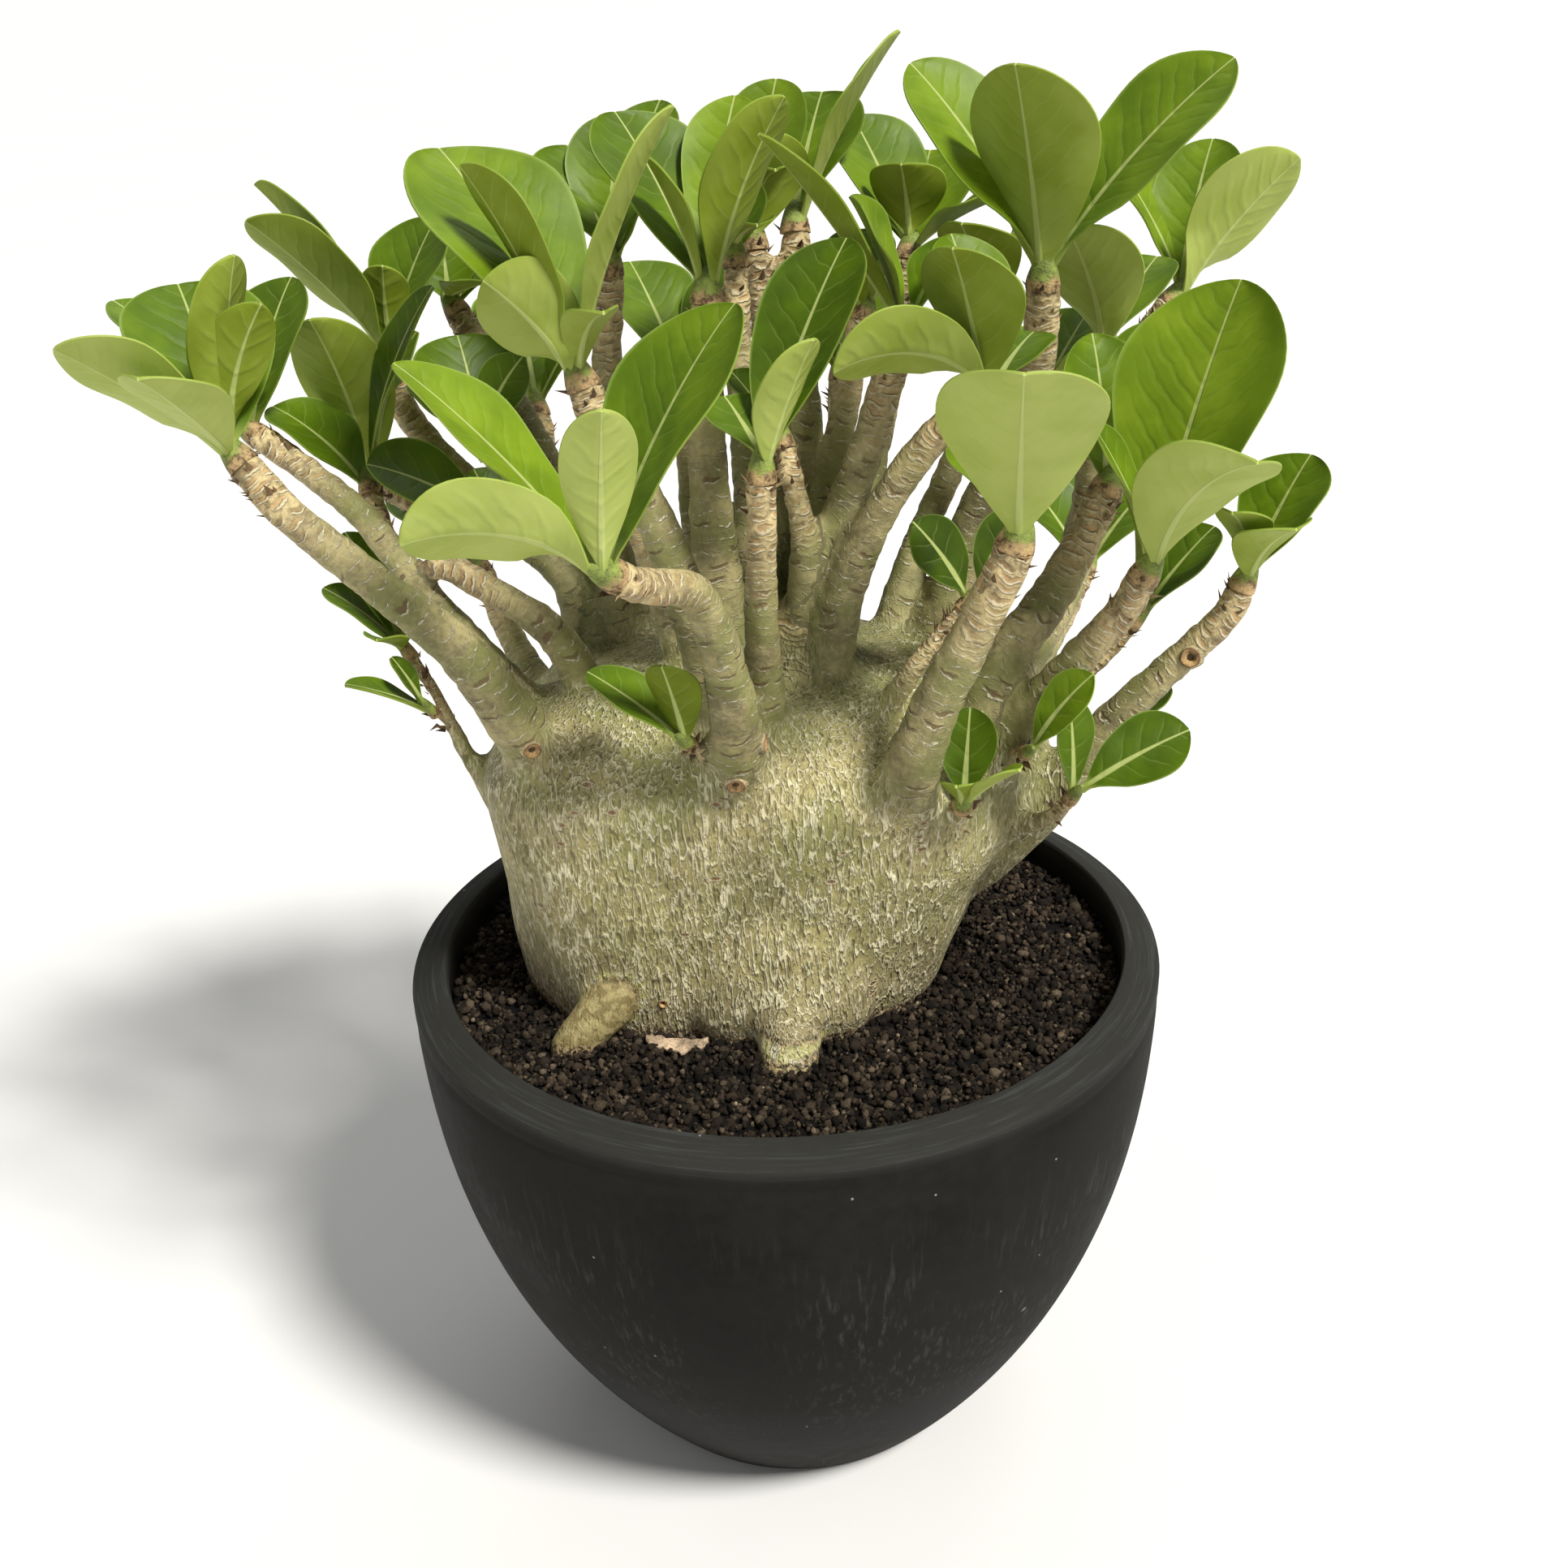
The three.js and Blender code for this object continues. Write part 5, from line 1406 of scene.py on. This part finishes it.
# A stone's twelve corners and twenty faces, as of a ball of even triangles
LONG = 1.618
GRAIN_CORNERS = np.array([
    (-1, LONG, 0), (1, LONG, 0), (-1, -LONG, 0), (1, -LONG, 0), (0, -1, LONG), (0, 1, LONG),
    (0, -1, -LONG), (0, 1, -LONG), (LONG, 0, -1), (LONG, 0, 1), (-LONG, 0, -1), (-LONG, 0, 1)]) / 1.902
GRAIN_FACES = np.array([
    (0, 11, 5), (0, 5, 1), (0, 1, 7), (0, 7, 10), (0, 10, 11), (1, 5, 9), (5, 11, 4), (11, 10, 2),
    (10, 7, 6), (7, 1, 8), (3, 9, 4), (3, 4, 2), (3, 2, 6), (3, 6, 8), (3, 8, 9), (4, 9, 5),
    (2, 4, 11), (6, 2, 10), (8, 6, 7), (9, 8, 1)])


def turned_corners(count):
    """Random corner sets for stones: turned, stretched and dented."""
    quarter = numbers.normal(size=(count, 4))
    quarter /= np.linalg.norm(quarter, axis=1)[:, None]
    w, x, y, z = quarter.T
    turns = np.stack([
        np.stack([1 - 2 * (y * y + z * z), 2 * (x * y - z * w), 2 * (x * z + y * w)], axis=1),
        np.stack([2 * (x * y + z * w), 1 - 2 * (x * x + z * z), 2 * (y * z - x * w)], axis=1),
        np.stack([2 * (x * z - y * w), 2 * (y * z + x * w), 1 - 2 * (x * x + y * y)], axis=1)], axis=1)
    dents = numbers.uniform(*STONE_DENTS, size=(count, len(GRAIN_CORNERS), 1))
    stretch = numbers.uniform(*STONE_STRETCH, size=(count, 1, 3))
    return np.einsum("nij,nkj->nki", turns, GRAIN_CORNERS[None] * dents * stretch)


def stones(name, spots, size, shades, material):
    """One mesh of loose angular stones at the given places, in mm."""
    corners = turned_corners(len(spots)) * size[:, None, None] + spots[:, None]
    faces = GRAIN_FACES[None] + len(GRAIN_CORNERS) * np.arange(len(spots))[:, None, None]
    mesh = bpy.data.meshes.new(name)
    mesh.from_pydata((corners.reshape(-1, 3) * MM).tolist(), [], faces.reshape(-1, 3).tolist())
    point_values(mesh, "grain", np.repeat(shades, len(GRAIN_CORNERS)))
    place_mesh(name, mesh, material)


def scatter_grains(material):
    """Loose grains over all the soil, and finer ones strewn between them."""
    edge = POT_RADIUS - RIM_WIDTH - GRAIN_MARGIN
    angle = numbers.uniform(0, 2 * math.pi, GRAINS)
    reach = np.sqrt(numbers.uniform(0.08, 1, GRAINS)) * edge
    spots = np.stack([reach * np.cos(angle), reach * np.sin(angle), soil_height(reach, angle)], axis=1)
    clear = np.minimum(stem_distance(spots), root_distance(spots, ROOTS[0]))
    clear = np.minimum(clear, root_distance(spots, ROOTS[1]))
    spots = spots[clear > -GRAIN_OVERLAP]
    size = numbers.uniform(0, 1, len(spots)) ** 1.8 * (GRAIN_SIZE[1] - GRAIN_SIZE[0]) + GRAIN_SIZE[0]
    spots[:, 2] += numbers.uniform(*GRAIN_LIFT, len(spots)) * size
    stones("soil_grains", spots, size, numbers.uniform(0, GRAIN_SHADE, len(spots)), material)
    count = min(FINE_GRAINS, len(spots))
    spots = spots[:count] + numbers.uniform(-FINE_STREW, FINE_STREW, (count, 3)) * (1, 1, 0)
    spots[:, 2] += numbers.uniform(0, 1.2, len(spots))
    spots = spots[np.hypot(spots[:, 0], spots[:, 1]) < edge]
    size = numbers.uniform(*FINE_SIZE, len(spots))
    stones("fine_grains", spots, size, numbers.uniform(0, GRAIN_SHADE, len(spots)), material)


def scatter_crumbs(material):
    """A few pale crumbs over all the soil."""
    angle = numbers.uniform(0, 2 * math.pi, CRUMBS)
    reach = np.sqrt(numbers.uniform(0.1, 1, CRUMBS)) * CRUMB_REACH
    spots = np.stack([reach * np.cos(angle), reach * np.sin(angle), soil_height(reach, angle) + 1.3], axis=1)
    spots = spots[stem_distance(spots) > 1]
    shades = numbers.uniform(*CRUMB_SHADES, len(spots))
    stones("crumbs", spots, numbers.uniform(*CRUMB_SIZE, len(spots)), shades, material)


def lay_scrap(material):
    """A ragged flake of dry root skin lying on the soil in front of the stem."""
    line, ways, places = stepped(curve_points([(x, y, 0) for x, y in SCRAP_LINE]), 0.7)
    rings = []
    for spot, way, place in zip(line, ways, places):
        outward = np.cross(way, (0, 0, 1))
        bulge = math.sin(math.pi * (place / places[-1])) ** 0.6
        front = SCRAP_WIDTH * bulge * (0.55 + 0.6 * noise.noise((place * 0.35, 2, 0)))
        front += 1.1 * noise.noise((place * 1.3, 7, 0)) + 0.6
        ring = []
        for step in np.linspace(0, 1, 6):
            x, y = (spot + outward * front * (step - 0.3))[:2]
            lift = 3.2 + 0.9 * noise.noise((x * 0.4, y * 0.4, 3)) - 1.2 * step * step
            ring.append((x, y, float(soil_height(math.hypot(x, y), math.atan2(y, x))) + lift))
        rings.append(ring + [(x, y, z - SCRAP_THICKNESS) for x, y, z in reversed(ring)])
    make_piece("root_skin_flake", *loft(rings, close=True), "soil", material, 40)


def scrap_material():
    material, shader, surface = new_material("root_skin")
    crumbly(shader, surface, (0.50, 0.37, 0.25, 1), (5, 0.8, 1.1), (0.8, 4, 0.6), (0.9, 0.6),
            Roughness=0.85, Specular_IOR_Level=0.2)
    return material


def soil_material():
    material, shader, surface = new_material("soil")
    # The bed between the grains reads no grain value and takes the darkest stop, near black: partly the
    # soil's dark colour, partly painted shade in the gaps between the grains
    own = shader.ramp(shader.attribute("grain", "Fac"), [
        (0.0, (0.004, 0.003, 0.0025)), (0.02, (0.009, 0.007, 0.005)), (0.5, (0.028, 0.019, 0.0125)),
        (0.85, (0.072, 0.052, 0.034)), (0.97, (0.15, 0.112, 0.075)), (1.0, (0.42, 0.33, 0.20))])
    crumbly(shader, surface, own, (18, 0.8, 0.9), (0.9, 4, 0.7), (1.0, 1.2),
            Roughness=0.92, Specular_IOR_Level=0.2)
    return material


# Pot

POT_RING_SIDES = 160
DRILL_SIDES = 32
DRILL_RANGE = (-5, FLOOR + 5)


def pot_profile():
    """The pot's outline from the middle of its foot over the rim to the middle of its floor."""
    outer = [(0, 0), (FOOT_RADIUS - FOOT_EDGE - 1, 0), (FOOT_RADIUS - FOOT_EDGE, 0.2)]
    outer += [(bowl_radius(height), height) for height in (2.2, *range(5, 161, 5))]
    under_rim = POT_HEIGHT - RIM_FALL - RIM_GROOVE_DROP
    rim_edge = POT_HEIGHT - RIM_FALL - RIM_EDGE
    outer += [(POT_RADIUS - 0.25, under_rim - 2.2), (POT_RADIUS - RIM_GROOVE, under_rim - 0.8),
              (POT_RADIUS - RIM_GROOVE, under_rim), (POT_RADIUS - 0.05, under_rim + 1.2),
              (POT_RADIUS, POT_HEIGHT - RIM_FALL - 3), (POT_RADIUS, rim_edge)]
    for angle in (30, 60, 90):
        bend = math.radians(angle)
        inset = RIM_EDGE * (1 - math.cos(bend))
        outer.append((POT_RADIUS - inset, POT_HEIGHT - RIM_FALL - RIM_EDGE * (1 - math.sin(bend))))
    lip = POT_RADIUS - RIM_WIDTH
    outer += [(POT_RADIUS - RIM_WIDTH * 0.5, POT_HEIGHT - RIM_FALL * 0.42), (lip + 1.6, POT_HEIGHT - 0.15),
              (lip + 0.7, POT_HEIGHT - 0.25), (lip + 0.1, POT_HEIGHT - 1), (lip, POT_HEIGHT - 2.5)]
    inner = [(inner_radius(height), height) for height in (165, 150, 130, 110, 90, 70, 50, 32, 20, 14)]
    inner += [(bowl_radius(FLOOR) - WALL - FLOOR_ROUND, FLOOR), (0, FLOOR)]
    return outer + inner


def lathe(profile, sides):
    """Points and faces of a profile of (radius, height) turned about the Z axis, closed on it."""
    return loft([level_ring(radius, height, sides) for radius, height in profile[1:-1]], close=True)


def throw_pot():
    """The pot, turned and then drilled through its floor."""
    pot = make_piece("bowl", *lathe(pot_profile(), POT_RING_SIDES), "pot", pot_material(), 40)
    drills = []
    for i in range(DRAIN_HOLES):
        angle = (i + 0.5) / DRAIN_HOLES * 2 * math.pi
        middle = np.array([DRAIN_CIRCLE * math.cos(angle), DRAIN_CIRCLE * math.sin(angle), 0])
        drills.append(loft([middle + np.array(level_ring(DRAIN_RADIUS, height, DRILL_SIDES))
                            for height in DRILL_RANGE], close=True))
    drill = new_object("drills", new_mesh("drills", *joined(drills)))
    cut = pot.modifiers.new("drain holes", "BOOLEAN")
    cut.operation = "DIFFERENCE"
    cut.object = drill
    cut.solver = "EXACT"
    drilled = shaped(pot)
    pot.modifiers.clear()
    pot.data = drilled
    bpy.data.objects.remove(drill)
    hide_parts("pot")


def pot_material():
    """Dull black with pale streaks down its side, a lighter bluish band low down that is partly dust and
    partly painted reflection, a lighter turned rim and a few specks.
    """
    material, shader, surface = new_material("charcoal_pot")
    place = shader.place_mm()
    height = shader.parts(place)[2]
    colour, cloud = mottled(shader, place, (0.0118, 0.0112, 0.0097, 1), 45, 5, 0.7)
    streaks = shader.fade(shader.noise(shader.stretch(place, (1, 1, 0.045)), 1.8, 4, 0.6), 0.5, 0.72)
    zone = shader.fade(height, 32, 80) * shader.fade(height, 158, 120)
    streaks = streaks * zone * shader.fade(shader.noise(place, 40), 0.35, 0.6)
    colour = shader.mix(streaks * 0.6, colour, (0.055, 0.054, 0.050, 1))
    # A lighter bluish band low on the side: partly dust, partly painted reflection of the light on the lower
    # curve
    dust_and_sheen = shader.fade(height, 18, 40) * shader.fade(height, 75, 50)
    dust_and_sheen = dust_and_sheen * shader.fade(cloud, 0.2, 0.8, 0.15, 0.4)
    colour = shader.mix(dust_and_sheen, colour, (0.03, 0.031, 0.034, 1))
    rim = shader.fade(height, POT_HEIGHT - 8, POT_HEIGHT - 3)
    turning = shader.noise(shader.stretch(place, (0.03, 0.03, 3)), 1.0, 3, 0.6)
    scratches = rim * shader.fade(turning, 0.5, 0.7)
    colour = shader.mix(rim * 0.5, colour, (0.045, 0.045, 0.041, 1))
    colour = shader.mix(scratches * 0.4, colour, (0.07, 0.074, 0.076, 1))
    for span, size, rarity in ((9, 0.06, 0.6), (24, 0.07, 0.7)):
        specks = shader.cells(shader.warped(place, 2.0, 0.4), span)
        luck = shader.luck(shader.cells(place, span, output="Position"))
        specks = shader.fade(specks, size, size / 2) * shader.fade(luck, rarity, rarity + 0.08)
        colour = shader.mix(specks * 0.7, colour, (0.34, 0.34, 0.33, 1))
    normal = shader.bump(grained(shader, place, 0.9) + streaks * 0.4, 0.18, 0.4)
    join_up(shader, surface, Base_Color=colour, Roughness=shader.fade(cloud, 0.0, 1.0, 0.62, 0.75),
            Specular_IOR_Level=0.08, Normal=normal)
    return material


throw_pot()
lay_soil()
raise_stubs(grow_bark())
grow_rosettes()
grow_bud_scales()
